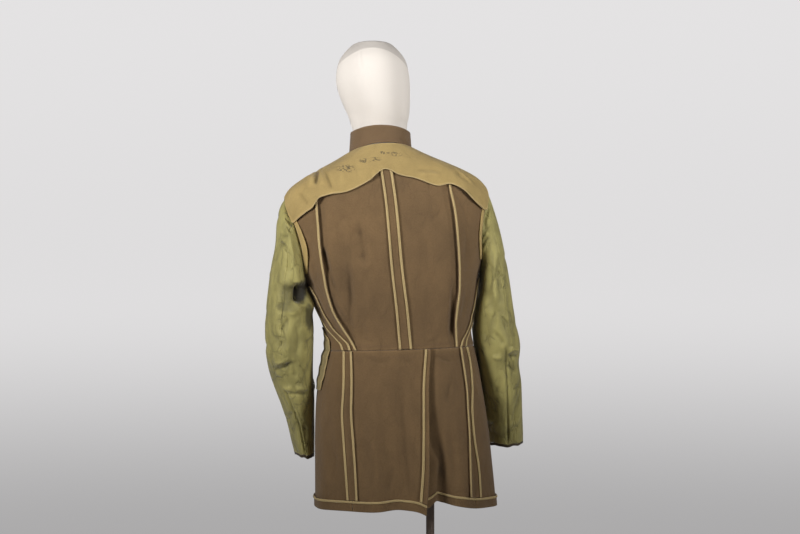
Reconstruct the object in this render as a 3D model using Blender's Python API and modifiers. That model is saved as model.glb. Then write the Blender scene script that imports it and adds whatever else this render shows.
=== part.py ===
"""Military service jacket, turned inside out, on a limbless dress form (metres, +Z up).

The garment's back faces -Y and its front +Y. The origin is under the stand's base, on the pole.
A place on the cloth is an angle round the body (0 at the centre back, 90 at the +X side, 180 at
the centre front, minus on the -X side) and a height.
"""
import collections
import functools
import math

import bmesh
import bpy
import numpy as np
from mathutils import Vector

# Cloth thicknesses and the clearances between layers
WOOL = 0.0016
COTTON = 0.0012
LINING = 0.0010
BINDING = 0.0010
SEAM_GAP = 0.0006
LAYER_GAP = 0.0006

# Main heights of the garment
HEM = 0.705
WAIST = 1.038
UNDERARM = 1.195
SHOULDER_TIP = 1.370
NECK = 1.456

# Widths of the sewn-on strips, and how far they start from the edges they follow
TAPE_WIDTH = 0.0048
TAPE_INSET = 0.0004
CENTRE_ALLOWANCE = 0.027
HEM_ROW = 0.06
VENT_TURN = 0.0125
STRIP_WIDTH = 0.010
STRIP_INSET = 0.0022
STRIP_LIFT = 0.0004
STRIP_LOW = {-1: UNDERARM + 0.010, 1: UNDERARM + 0.022}
STRIP_TOP = 1.322
WAIST_CLEAR = 0.001
UNDER_YOKE = 0.007

# The fronts lap at the centre front: the left one rises over the right one
FRONT_LAP = 0.030
FRONT_UNDERLAP = 0.020
LAP_RISE = 0.0030
LAP_START = 148.0
LAP_SPAN = 14.0

# The back drops under the side back's free edge, which stands off it between waist and yoke
STEP_NEAR = 0.016
STEP_UNDER = 0.004
STEP_DEPTH = 0.0026
BACK_UNDER = 0.010
SHOULDER_EDGE = 89.7
PLEAT_LIFT = 0.0042
PLEAT_LIFT_WIDTH = 0.030
PLEAT_LIFT_TOP = 1.325
PLEAT_LIFT_FADE = 0.045
PLEAT_TOP = 1.410

# The right skirt drops under the left one at the vent, further towards the hem
UNDERLAP_EDGE = -8.0
UNDERLAP_DROP = 0.0030
UNDERLAP_HEM_DROP = 0.012
UNDERLAP_SPAN = 11.0

# The yoke stands off the back, and flares towards its free edge but not along the armholes
YOKE_STAND = 0.0034
YOKE_FLARE = 0.0052
YOKE_FLARE_END = 66.0
YOKE_FLARE_FADE = 14.0
YOKE_CLEAR = 0.0015
YOKE_TOP = NECK - 0.003
YOKE_FRONT_LOW = 1.362
YOKE_ANGLES = (4, 9, 16, 24, 32, 38, 42, 46, 52, 60, 66, 72, 80, 88, 92, 97, 104, 111)
YOKE_SHARES = (0, 0.1, 0.22, 0.36, 0.5, 0.66, 0.83, 1)

# The stand under the form
POLE_RADIUS = 0.009
BASE_RADIUS = 0.175
BASE_THICKNESS = 0.014
BASE_ROUNDING = 0.003
FLANGE_RADIUS = 0.040
FLANGE_THICKNESS = 0.006
FORM_BOTTOM = 0.800
PART_GAP = 0.0003

# How square the body's cross sections are: 2 would be an ellipse
SQUARENESS = 2.25

# Steps for finding the way a surface faces
ANGLE_STEP = 0.4
HEIGHT_STEP = 0.001
ROW_STEP = 0.002


def table(columns, *rows):
    """Rows of numbers with named columns."""
    kind = collections.namedtuple("Row", columns)
    return tuple(kind(*row) for row in rows)


# Cross sections of the jacket's body from hem to neck seam, lengths in metres, tilt in degrees
SECTIONS = table(
    "height centre_x half_width back front tilt back_lift front_lift",
    (0.675, -0.0565, 0.1940, 0.149, 0.149, 0.0, 0.000, 0.000),
    (0.780, -0.059, 0.191, 0.138, 0.141, 0.0, 0.000, 0.000),
    (0.860, -0.062, 0.187, 0.128, 0.134, 0.3, 0.000, 0.000),
    (0.945, -0.066, 0.178, 0.115, 0.126, 0.8, 0.000, 0.000),
    (1.000, -0.067, 0.169, 0.105, 0.119, 1.2, 0.000, 0.000),
    (1.040, -0.067, 0.160, 0.100, 0.115, 1.5, 0.000, 0.000),
    (1.065, -0.069, 0.157, 0.099, 0.115, 1.7, 0.000, 0.000),
    (1.096, -0.072, 0.162, 0.103, 0.118, 2.0, 0.000, 0.000),
    (1.130, -0.076, 0.173, 0.110, 0.123, 2.3, 0.000, 0.000),
    (1.176, -0.082, 0.184, 0.117, 0.128, 2.6, 0.000, 0.000),
    (1.215, -0.086, 0.199, 0.121, 0.127, 2.9, 0.000, 0.000),
    (1.260, -0.089, 0.212, 0.123, 0.124, 3.1, 0.000, 0.000),
    (1.310, -0.092, 0.219, 0.121, 0.116, 3.3, 0.000, 0.000),
    (1.357, -0.096, 0.219, 0.115, 0.106, 3.4, 0.004, -0.002),
    (1.372, -0.098, 0.212, 0.111, 0.102, 3.4, 0.008, -0.004),
    (1.388, -0.100, 0.198, 0.106, 0.098, 3.4, 0.011, -0.006),
    (1.404, -0.102, 0.173, 0.099, 0.092, 3.4, 0.013, -0.010),
    (1.420, -0.104, 0.141, 0.090, 0.084, 3.4, 0.014, -0.016),
    (1.437, -0.106, 0.104, 0.078, 0.074, 3.4, 0.015, -0.025),
    (1.456, -0.108, 0.067, 0.062, 0.062, 3.4, 0.015, -0.036),
)

# The centre-back seam's distance from the centre line
CENTRE_SEAM = table(
    "height across",
    (1.038, 0.0005),
    (1.160, -0.0010),
    (1.286, -0.0045),
    (1.400, -0.0070),
    (1.456, -0.0080),
)

# Side seams: the seam's angle and the half width of its pressed-open allowance, by height
SIDE_UPPER = table(
    "height left right left_half right_half",
    (1.038, -46.0, 50.0, 0.0105, 0.0095),
    (1.052, -49.0, 54.0, 0.0110, 0.0086),
    (1.066, -56.0, 62.0, 0.0115, 0.0084),
    (1.085, -65.5, 71.0, 0.0125, 0.0110),
    (1.105, -70.5, 75.0, 0.0135, 0.0140),
    (1.140, -74.0, 76.5, 0.0140, 0.0150),
    (1.195, -79.0, 85.0, 0.0120, 0.0140),
)
# The same for the skirt, where a row is 0 at the hem and 1 at the waist
SIDE_SKIRT = table(
    "row left right left_half right_half",
    (0.06, -36.0, 42.0, 0.0125, 0.0165),
    (0.25, -37.2, 42.7, 0.0130, 0.0140),
    (0.43, -38.5, 42.7, 0.0130, 0.0085),
    (0.60, -40.0, 44.5, 0.0125, 0.0075),
    (0.75, -40.0, 48.0, 0.0115, 0.0100),
    (0.88, -41.5, 49.5, 0.0110, 0.0120),
    (1.00, -45.0, 50.0, 0.0105, 0.0110),
)

# Free inner edge of each side-back piece, as a distance from the centre line
PLEAT_EDGES = table(
    "height left right",
    (1.038, -0.099, 0.110),
    (1.060, -0.108, 0.109),
    (1.085, -0.119, 0.109),
    (1.120, -0.134, 0.115),
    (1.158, -0.142, 0.124),
    (1.200, -0.146, 0.128),
    (1.255, -0.151, 0.128),
    (1.310, -0.152, 0.126),
    (1.365, -0.153, 0.122),
    (1.412, -0.154, 0.126),
)

# Vent edge of the left skirt back, by skirt row
VENT_EDGE = table(
    "row angle",
    (0.00, 6.0),
    (0.12, 7.2),
    (0.26, 8.6),
    (0.45, 10.0),
    (0.63, 11.6),
    (0.80, 13.4),
    (1.00, 17.0),
)

# Hem heights round each half of the skirt: the left one droops at the vent's corner
HEM_LEFT = table(
    "angle height",
    (-200, 0.702),
    (-110, 0.704),
    (-72, 0.706),
    (-43, 0.709),
    (-18, 0.710),
    (-5, 0.714),
    (3, 0.708),
    (11, 0.689),
)
HEM_RIGHT = table(
    "angle height",
    (-12, 0.724),
    (6, 0.717),
    (10, 0.716),
    (14, 0.728),
    (19, 0.726),
    (26, 0.718),
    (33, 0.713),
    (63, 0.705),
    (110, 0.704),
    (200, 0.702),
)

# Lower edge of the shoulder yoke across the back
YOKE_EDGE = table(
    "angle height",
    (-64.0, 1.313),
    (-50.0, 1.332),
    (-44.0, 1.340),
    (-40.0, 1.354),
    (-35.0, 1.359),
    (-21.0, 1.364),
    (-10.0, 1.379),
    (-1.5, 1.397),
    (4.0, 1.386),
    (12.0, 1.379),
    (24.0, 1.365),
    (34.0, 1.367),
    (40.0, 1.358),
    (46.0, 1.341),
    (60.0, 1.318),
)

# Soft folds: a fold runs from a top place to a low place, growing and fading as it goes
FOLD_GROWTH = 1.4
FOLD_FADE = 0.25
FOLD_COLUMNS = "top top_angle low low_angle spread top_rise low_rise"
UPPER_FOLDS = table(
    FOLD_COLUMNS,
    (1.235, -29.0, 1.075, -33.0, 8.0, -0.004, -0.007),
    (1.300, 18.0, 1.120, 20.0, 9.0, 0.000, -0.004),
)
LEFT_SKIRT_FOLDS = table(
    FOLD_COLUMNS,
    (1.00, 20.0, 0.00, 12.0, 9.0, 0.002, 0.022),
    (0.90, -4.0, 0.00, -9.0, 7.0, 0.000, -0.007),
    (0.60, -22.0, 0.00, -20.0, 8.0, 0.000, 0.007),
    (0.70, -62.0, 0.00, -64.0, 10.0, 0.000, 0.006),
    (0.80, -130.0, 0.00, -128.0, 13.0, 0.000, 0.008),
    (0.70, -98.0, 0.00, -100.0, 11.0, 0.000, -0.006),
)
RIGHT_SKIRT_FOLDS = table(
    FOLD_COLUMNS,
    (0.68, 16.0, 0.00, 17.0, 7.0, 0.000, -0.026),
    (0.75, 33.0, 0.00, 31.0, 6.0, 0.000, 0.006),
    (0.70, 66.0, 0.00, 70.0, 10.0, 0.000, 0.007),
    (0.80, 128.0, 0.00, 126.0, 13.0, 0.000, 0.008),
    (0.70, 98.0, 0.00, 100.0, 11.0, 0.000, -0.006),
)

# Armholes: where the side seam meets them, and how far they reach to the back and the front
Armhole = collections.namedtuple("Armhole", "underarm_angle back_spread front_spread")
ARMHOLES = {-1: Armhole(79.0, 21.0, 27.0), 1: Armhole(85.0, 26.0, 27.0)}
# How much narrower an armhole is towards the underarm
ARMHOLE_LEAN = 0.3

# Sleeve sections from the armhole to the cuff: the line that shows outside and inside the arm
SLEEVE_COLUMNS = "outer_x outer_z inner_x inner_z centre_y half_depth"
SLEEVES = {
    -1: table(
        SLEEVE_COLUMNS,
        (-0.3235, 1.335, -0.2680, 1.1620, -0.010, 0.066),
        (-0.330, 1.303, -0.2655, 1.1540, -0.006, 0.071),
        (-0.333, 1.257, -0.2620, 1.1430, -0.003, 0.075),
        (-0.341, 1.214, -0.2575, 1.1280, 0.000, 0.076),
        (-0.347, 1.171, -0.2535, 1.1070, 0.001, 0.077),
        (-0.354, 1.100, -0.2510, 1.0750, 0.004, 0.076),
        (-0.353, 1.042, -0.2515, 1.0350, 0.010, 0.074),
        (-0.3465, 0.987, -0.2515, 0.9830, 0.022, 0.072),
        (-0.324, 0.927, -0.2475, 0.9340, 0.042, 0.069),
        (-0.306, 0.875, -0.2460, 0.8880, 0.062, 0.065),
        (-0.295, 0.830, -0.2450, 0.8400, 0.076, 0.061),
        (-0.287, 0.801, -0.2450, 0.7970, 0.084, 0.058),
    ),
    1: table(
        SLEEVE_COLUMNS,
        (0.1270, 1.363, 0.1062, 1.1870, 0.000, 0.066),
        (0.1390, 1.328, 0.1050, 1.1730, 0.000, 0.071),
        (0.1510, 1.285, 0.1030, 1.1570, 0.000, 0.075),
        (0.1620, 1.233, 0.1000, 1.1390, 0.000, 0.076),
        (0.1715, 1.180, 0.0965, 1.1180, 0.001, 0.077),
        (0.1815, 1.117, 0.0935, 1.0870, 0.004, 0.076),
        (0.1925, 1.057, 0.0965, 1.0500, 0.008, 0.074),
        (0.2005, 0.998, 0.1045, 0.9980, 0.017, 0.072),
        (0.2050, 0.939, 0.1135, 0.9430, 0.030, 0.069),
        (0.2100, 0.885, 0.1235, 0.8940, 0.046, 0.065),
        (0.2150, 0.846, 0.1335, 0.8520, 0.062, 0.061),
        (0.2170, 0.821, 0.1400, 0.8170, 0.070, 0.058),
    ),
}
SLEEVE_ROWS = (0.08, 1, 2, 3, 4, 5, 6, 7, 7.5, 8, 8.5, 9, 10, 11, 11.80)
CUFF_ROWS = (11.82, 12)
SLEEVE_STEP = 22.5
SLEEVE_BACK_SEAM = 112.5
SLEEVE_FRONT_SEAM = 315.0
SLEEVE_PART = 0.9
CUFF_CELLS = 16

# Creases across the back of each elbow: the row they lie on and the turns they cover
CREASE_FADE = 40.0
CREASES = table(
    "row first_turn last_turn spread rise",
    (8.0, 60.0, 200.0, 0.45, -0.005),
    (7.2, 70.0, 190.0, 0.50, 0.003),
)

# Stand collar: the ring at its top, round the neck
Collar = collections.namedtuple("Collar", "half_width back front rise_side rise_back rise_front tilt")
COLLAR_TOP = Collar(0.0640, 0.0600, 0.0600, 0.040, 0.037, 0.036, -4.3)
COLLAR_END = 176.0
COLLAR_CELLS = 34
COLLAR_CLEAR = 0.0012

# The form inside the jacket: how far it stays inside the cloth, then the sections of its head
FORM_INSETS = table(
    "height inset",
    (0.830, 0.046),
    (0.900, 0.033),
    (1.000, 0.018),
    (1.065, 0.013),
    (1.130, 0.014),
    (1.200, 0.018),
    (1.280, 0.024),
    (1.340, 0.021),
    (1.370, 0.013),
    (1.388, 0.0078),
    (1.409, 0.0070),
    (1.423, 0.0080),
    (1.438, 0.0050),
    (1.456, 0.0032),
)
# Rings under the form: their share of the lowest section
FORM_UNDERSIDE = table("share height", (0.30, 0.800), (0.80, 0.800), (0.95, 0.808))
HEAD_SECTIONS = table(
    "height centre_x centre_y half_width back front",
    (1.478, -0.108, 0.001, 0.0565, 0.0530, 0.0530),
    (1.500, -0.109, 0.003, 0.0575, 0.0560, 0.0560),
    (1.516, -0.1104, 0.005, 0.0605, 0.0640, 0.0620),
    (1.533, -0.111, 0.007, 0.0649, 0.0745, 0.0720),
    (1.556, -0.115, 0.009, 0.0710, 0.0860, 0.0840),
    (1.580, -0.1195, 0.010, 0.0760, 0.0930, 0.0920),
    (1.603, -0.1227, 0.010, 0.0787, 0.0960, 0.0960),
    (1.626, -0.124, 0.010, 0.0778, 0.0950, 0.0950),
    (1.650, -0.1244, 0.010, 0.0722, 0.0880, 0.0880),
    (1.666, -0.1245, 0.010, 0.0628, 0.0770, 0.0770),
    (1.680, -0.1244, 0.010, 0.0500, 0.0610, 0.0610),
    (1.690, -0.1245, 0.010, 0.0350, 0.0430, 0.0430),
)
HEAD_TOP = 1.6955
FORM_SEGMENTS = 36

# Pocket bag on the left front: only its rear edge shows from behind
POCKET_REAR = table(
    "height angle",
    (0.952, -75.0),
    (0.975, -71.0),
    (1.005, -69.5),
    (1.038, -69.5),
    (1.060, -72.0),
    (1.073, -81.0),
    (1.086, -92.0),
)
POCKET_FRONT = -118.0
POCKET_OUT = 0.0025

# Finishes
Finish = collections.namedtuple("Finish", "colour roughness metallic")
FINISHES = {
    "wool": Finish((0.183, 0.111, 0.058), 0.9, 0.0),
    "collar_wool": Finish((0.200, 0.130, 0.072), 0.9, 0.0),
    "yoke_cotton": Finish((0.440, 0.320, 0.120), 0.85, 0.0),
    "binding_tape": Finish((0.560, 0.410, 0.190), 0.8, 0.0),
    "sleeve_lining": Finish((0.310, 0.276, 0.106), 0.55, 0.0),
    "cuff_wool": Finish((0.060, 0.044, 0.024), 0.9, 0.0),
    "form_cover": Finish((0.850, 0.790, 0.720), 0.8, 0.0),
    "stand_metal": Finish((0.064, 0.046, 0.034), 0.4, 0.8),
}
SHARP_ANGLE = 40.0
SIDES = ((-1, "left"), (1, "right"))


def smooth_curve(rows):
    """Return a function through a table's rows: a place in its first column in, a row out."""
    kind = type(rows[0])
    data = np.array(rows, float)
    place, values = data[:, 0], data[:, 1:]
    slopes = np.gradient(values, place, axis=0)

    def row_at(where):
        where = float(np.clip(where, place[0], place[-1]))
        row = int(np.clip(np.searchsorted(place, where) - 1, 0, len(place) - 2))
        span = place[row + 1] - place[row]
        t = (where - place[row]) / span
        found = (
            (2 * t**3 - 3 * t**2 + 1) * values[row]
            + (t**3 - 2 * t**2 + t) * span * slopes[row]
            + (3 * t**2 - 2 * t**3) * values[row + 1]
            + (t**3 - t**2) * span * slopes[row + 1]
        )
        return kind(where, *found.tolist())

    return row_at


def ease(t):
    """Smooth step from 0 to 1."""
    t = min(max(t, 0.0), 1.0)
    return t * t * (3 - 2 * t)


def signed_power(value, power):
    return math.copysign(abs(value) ** power, value)


def turned(angle):
    """Sine and cosine of an angle in degrees."""
    return math.sin(math.radians(angle)), math.cos(math.radians(angle))


section_at = smooth_curve(SECTIONS)
centre_seam_at = smooth_curve(CENTRE_SEAM)
side_upper_at = smooth_curve(SIDE_UPPER)
side_skirt_at = smooth_curve(SIDE_SKIRT)
pleat_at = smooth_curve(PLEAT_EDGES)
vent_at = smooth_curve(VENT_EDGE)
hem_left_at = smooth_curve(HEM_LEFT)
hem_right_at = smooth_curve(HEM_RIGHT)
yoke_edge_at = smooth_curve(YOKE_EDGE)
form_inset_at = smooth_curve(FORM_INSETS)
pocket_rear_at = smooth_curve(POCKET_REAR)


def body_point(angle, height):
    """A point of the plain body surface, before folds."""
    section = section_at(height)
    sine, cosine = turned(angle)
    across = section.half_width * signed_power(sine, 2 / SQUARENESS)
    depth = section.back if cosine > 0 else section.front
    lift = section.back_lift if cosine > 0 else section.front_lift
    along = -depth * signed_power(cosine, 2 / SQUARENESS)
    rise = lift * cosine * cosine + across * math.tan(math.radians(section.tilt))
    return Vector((section.centre_x + across, along, height + rise))


def body_normal(angle, height):
    low = max(height - HEIGHT_STEP, SECTIONS[0].height)
    high = min(height + HEIGHT_STEP, NECK)
    around = body_point(angle + ANGLE_STEP, height) - body_point(angle - ANGLE_STEP, height)
    upward = body_point(angle, high) - body_point(angle, low)
    return around.cross(upward).normalized()


def slide(angle, height, distance):
    """The angle that lies a distance further round the body."""
    step = 0.5
    for _ in range(3):
        pace = (body_point(angle + step, height) - body_point(angle, height)).length / step
        step = max(0.05, abs(distance) / pace)
    return angle + math.copysign(step, distance)


def angle_of(across, height):
    """The angle at which the back surface lies a distance from the centre line."""
    share = min(abs(across) / section_at(height).half_width, 1.0)
    return math.copysign(math.degrees(math.asin(share ** (SQUARENESS / 2))), across)


def fold_rise(folds, angle, row):
    """How far the soft folds move the cloth out at a place."""
    total = 0.0
    for fold in folds:
        t = (fold.top - row) / (fold.top - fold.low)
        along = min(max(t, 0.0), 1.0)
        centre = fold.top_angle + (fold.low_angle - fold.top_angle) * along
        rise = fold.top_rise + (fold.low_rise - fold.top_rise) * along**FOLD_GROWTH
        fade = ease(1 + t / FOLD_FADE) * ease(1 + (1 - t) / FOLD_FADE)
        total += rise * fade * math.exp(-(((angle - centre) / fold.spread) ** 2))
    return total


def upper_at(angle, height):
    """The upper body's cloth."""
    rise = fold_rise(UPPER_FOLDS, angle, height)
    return body_point(angle, height) + body_normal(angle, height) * rise


def skirt_at(hem_at, folds):
    """The cloth of one half of the skirt, as a function of angle and row."""

    def place(angle, row):
        hem = hem_at(angle).height
        height = hem + row * (WAIST - SEAM_GAP - hem)
        rise = fold_rise(folds, angle, row)
        return body_point(angle, height) + body_normal(angle, height) * rise

    return place


left_skirt_at = skirt_at(hem_left_at, LEFT_SKIRT_FOLDS)
right_skirt_at = skirt_at(hem_right_at, RIGHT_SKIRT_FOLDS)


def raised(surface, out):
    """A surface moved out along its own normals by a distance or a function of the place."""

    def place(angle, row):
        distance = out(angle, row) if callable(out) else out
        # Skirt rows end at 1 and upper rows, which are heights, at the neck
        low = max(row - ROW_STEP, 0.0)
        high = min(row + ROW_STEP, 1.0 if row <= 1.0 else NECK)
        around = surface(angle + ANGLE_STEP, row) - surface(angle - ANGLE_STEP, row)
        upward = surface(angle, high) - surface(angle, low)
        return surface(angle, row) + around.cross(upward).normalized() * distance

    return place


def skirt_height(row):
    return HEM + row * (WAIST - HEM)


def armhole_edge(side, turn):
    """Angle and height on an armhole: turn 0 is the underarm, 90 the back, 180 the top."""
    hole = ARMHOLES[side]
    sine, cosine = turned(turn)
    reach = (SHOULDER_TIP - UNDERARM) / 2
    height = UNDERARM + reach * (1 - cosine)
    centre = hole.underarm_angle + (90.0 - hole.underarm_angle) * (1 - cosine) / 2
    spread = hole.back_spread if sine > 0 else hole.front_spread
    spread *= 1 - ARMHOLE_LEAN * max(cosine, 0.0) ** 2
    return side * (centre - spread * sine), height


PathRow = collections.namedtuple("PathRow", "row x y z")


def sleeve_path(side, turn):
    """The line at one turn round a sleeve, from the armhole to the cuff."""
    points = [body_point(*armhole_edge(side, turn))]
    sine, cosine = turned(turn)
    for ring in SLEEVES[side]:
        outer = Vector((ring.outer_x, ring.centre_y, ring.outer_z))
        inner = Vector((ring.inner_x, ring.centre_y, ring.inner_z))
        middle = (outer + inner) / 2
        points.append(middle + (inner - middle) * cosine - Vector((0, ring.half_depth * sine, 0)))
    return smooth_curve([PathRow(row, *point) for row, point in enumerate(points)])


def crease_rise(turn, row):
    """How far the elbow's creases move the sleeve out at a place."""
    total = 0.0
    for crease in CREASES:
        inside = min(turn - crease.first_turn, crease.last_turn - turn)
        across = math.exp(-(((row - crease.row) / crease.spread) ** 2))
        total += crease.rise * ease(inside / CREASE_FADE) * across
    return total


def sleeve_at(side):
    """A sleeve's surface as a function of the turn round it and the row along it."""
    path = functools.lru_cache(None)(functools.partial(sleeve_path, side))

    def plain(turn, row):
        found = path(turn)(row)
        return Vector((found.x, found.y, found.z))

    def place(turn, row):
        rise = crease_rise(turn % 360.0, row)
        if not rise:
            return plain(turn, row)
        around = plain(turn + ANGLE_STEP, row) - plain(turn - ANGLE_STEP, row)
        along = plain(turn, row + ROW_STEP) - plain(turn, row - ROW_STEP)
        return plain(turn, row) - around.cross(along).normalized() * rise * side

    return place


# Rows that the pieces share, so that neighbours meet edge to edge
ARM_TURNS = [SLEEVE_STEP * step for step in range(9)]
ARM_ROWS = [armhole_edge(1, turn)[1] for turn in ARM_TURNS]
CHEST_ROWS = [WAIST, 1.052, 1.066, 1.081, 1.100, 1.130, 1.158, 1.179]
SHOULDER_ROWS = [1.379, 1.388, 1.398, 1.409, 1.422, 1.438, NECK]
UPPER_ROWS = CHEST_ROWS + ARM_ROWS + SHOULDER_ROWS
SIDE_BACK_ROWS = CHEST_ROWS + ARM_ROWS + SHOULDER_ROWS[:3]
SIDE_SEAM_ROWS = [WAIST + WAIST_CLEAR] + CHEST_ROWS[1:]
SKIRT_ROWS = [0.0, HEM_ROW, 0.16, 0.28, 0.42, 0.56, 0.71, 0.86, 1.0]
SEAM_ROWS = [HEM_ROW + 0.004] + SKIRT_ROWS[2:-1] + [0.995]


def rows_under_yoke(edge):
    """Upper rows for a strip that ends a little way up under the yoke's edge."""
    above = [row for row in UPPER_ROWS if row > edge + UNDER_YOKE]
    return [WAIST + WAIST_CLEAR] + [row for row in UPPER_ROWS if WAIST < row < above[0]] + above[:1]


def outer_edge(side, height, half):
    """Where a body piece ends at the side: side seam, then armhole, then shoulder seam."""
    if height < UNDERARM - 1e-6:
        seam = side_upper_at(height)
        return seam.left if side < 0 else seam.right
    if height > SHOULDER_TIP + 1e-6:
        return side * 90.0
    cosine = 1 - 2 * (height - UNDERARM) / (SHOULDER_TIP - UNDERARM)
    turn = math.degrees(math.acos(min(max(cosine, -1.0), 1.0)))
    return armhole_edge(side, turn if half == "back" else -turn)[0]


def centre_angle(height):
    return angle_of(centre_seam_at(height).across, height)


def pleat_angle(side, height):
    edges = pleat_at(height)
    return angle_of(edges.left if side < 0 else edges.right, height)


def pleat_lift(height):
    """The free edge of a side back stands off the back, but not at the waist or under the yoke."""
    under_yoke = ease((height - PLEAT_LIFT_TOP) / PLEAT_LIFT_FADE)
    return PLEAT_LIFT * (1 - under_yoke) * ease((height - WAIST) / PLEAT_LIFT_FADE)


def spaced(first, last, shares):
    return [first + (last - first) * share for share in shares]


def even(cells):
    return [cell / cells for cell in range(cells + 1)]


def make_finishes():
    made = {}
    for name, finish in FINISHES.items():
        material = bpy.data.materials.new(name)
        material.use_nodes = True
        shader = material.node_tree.nodes["Principled BSDF"]
        shader.inputs["Base Color"].default_value = (*finish.colour, 1.0)
        shader.inputs["Roughness"].default_value = finish.roughness
        shader.inputs["Metallic"].default_value = finish.metallic
        made[name] = material
    return made


class Workshop:
    """Makes the pieces and keeps them in the jacket's collection."""

    def __init__(self):
        for thing in list(bpy.data.objects):
            bpy.data.objects.remove(thing, do_unlink=True)
        self.collection = bpy.data.collections.new("military_service_jacket")
        bpy.context.scene.collection.children.link(self.collection)
        self.finishes = make_finishes()

    def add(self, name, shape, finish):
        mesh = bpy.data.meshes.new(name)
        shape.to_mesh(mesh)
        shape.free()
        mesh.shade_smooth()
        mesh.set_sharp_from_angle(angle=math.radians(SHARP_ANGLE))
        mesh.materials.append(self.finishes[finish])
        thing = bpy.data.objects.new(name, mesh)
        self.collection.objects.link(thing)
        return thing

    def wall(self, name, points, thickness, finish, mirrored=False, closed=False):
        """A cloth wall from rows of points on its outer face."""
        row_count, column_count = len(points), len(points[0])
        shape = bmesh.new()
        bmesh.ops.create_grid(shape, x_segments=column_count - 1, y_segments=row_count - 1, size=1.0)
        for vertex in shape.verts:
            column = round((vertex.co.x + 1) / 2 * (column_count - 1))
            row = round((vertex.co.y + 1) / 2 * (row_count - 1))
            vertex.co = points[row][column]
        if closed:
            bmesh.ops.remove_doubles(shape, verts=shape.verts, dist=1e-6)
        if mirrored:
            bmesh.ops.reverse_faces(shape, faces=shape.faces)
        thing = self.add(name, shape, finish)
        solid = thing.modifiers.new("thickness", "SOLIDIFY")
        solid.thickness = thickness
        solid.offset = -1.0
        solid.use_even_offset = True
        return thing

    def sheet(self, name, surface, rows, columns, thickness, finish, **options):
        """A wall over a cloth surface, where columns gives the angles along each row."""
        points = [[surface(angle, row) for angle in columns(row)] for row in rows]
        return self.wall(name, points, thickness, finish, **options)

    def disc(self, name, radius, low, high, segments, bevel=0.0):
        shape = bmesh.new()
        bmesh.ops.create_cone(
            shape, cap_ends=True, segments=segments, radius1=radius, radius2=radius, depth=high - low
        )
        bmesh.ops.translate(shape, verts=shape.verts, vec=(0, 0, (low + high) / 2))
        thing = self.add(name, shape, "stand_metal")
        if bevel:
            rounding = thing.modifiers.new("rounding", "BEVEL")
            rounding.width = bevel
            rounding.segments = 2
            rounding.limit_method = "ANGLE"
        return thing


def layer(base, thickness):
    """Distance out of the outer face of something that lies on a face at base."""
    return base + LAYER_GAP + thickness


def in_order(side, angles):
    """Angles run from -X to +X on both sides."""
    return angles if side > 0 else angles[::-1]


def make_upper_back(shop):
    for side, word in SIDES:
        pleat = functools.partial(pleat_angle, side)

        def step_down(height, side=side, pleat=pleat):
            """Where the back starts to drop under the side back's free edge, and where it is down."""
            edge = pleat(height)
            return slide(edge, height, -side * STEP_NEAR), slide(edge, height, -side * STEP_UNDER)

        def back_columns(height, side=side, pleat=pleat, step_down=step_down):
            start = slide(centre_angle(height), height, side * SEAM_GAP / 2)
            shoulder = side * SHOULDER_EDGE
            if height > PLEAT_TOP:
                return in_order(side, spaced(start, shoulder, (0, 0.2, 0.42, 0.63, 0.85, 1)))
            near, under = step_down(height)
            last = slide(pleat(height), height, side * BACK_UNDER)
            if abs(last) > SHOULDER_EDGE:
                last = shoulder
            return in_order(side, spaced(start, near, even(3)) + [under, last])

        def back_lift(angle, height, step_down=step_down):
            if height > PLEAT_TOP:
                return 0.0
            near, under = step_down(height)
            return -STEP_DEPTH * ease((angle - near) / (under - near))

        back = raised(upper_at, back_lift)
        shop.sheet(f"upper_back_{word}", back, UPPER_ROWS, back_columns, WOOL, "wool")

        def side_columns(height, side=side, pleat=pleat):
            last = slide(outer_edge(side, height, "back"), height, -side * SEAM_GAP / 2)
            return in_order(side, spaced(pleat(height), last, (0, 0.12, 0.36, 0.6, 0.8, 1)))

        def side_lift(angle, height, side=side, pleat=pleat):
            edge = body_point(pleat(height), height)
            away = (body_point(angle, height) - edge).length
            width = (body_point(outer_edge(side, height, "back"), height) - edge).length
            return pleat_lift(height) * (1 - ease(away / min(PLEAT_LIFT_WIDTH, width / 2)))

        side_back = raised(upper_at, side_lift)
        shop.sheet(f"side_back_{word}", side_back, SIDE_BACK_ROWS, side_columns, WOOL, "wool")

        def tape_columns(height, side=side, pleat=pleat):
            first = slide(pleat(height), height, side * TAPE_INSET)
            return in_order(side, [first, slide(first, height, side * TAPE_WIDTH)])

        tape = raised(side_back, layer(0.0, BINDING))
        rows = rows_under_yoke(yoke_edge_at(pleat(SHOULDER_TIP)).height)
        shop.sheet(f"pleat_tape_{word}", tape, rows, tape_columns, BINDING, "binding_tape")


def lap_lift(angle, _row):
    """The left front lies over the right one near the centre front."""
    return LAP_RISE * ease((abs(angle) - LAP_START) / LAP_SPAN)


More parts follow.
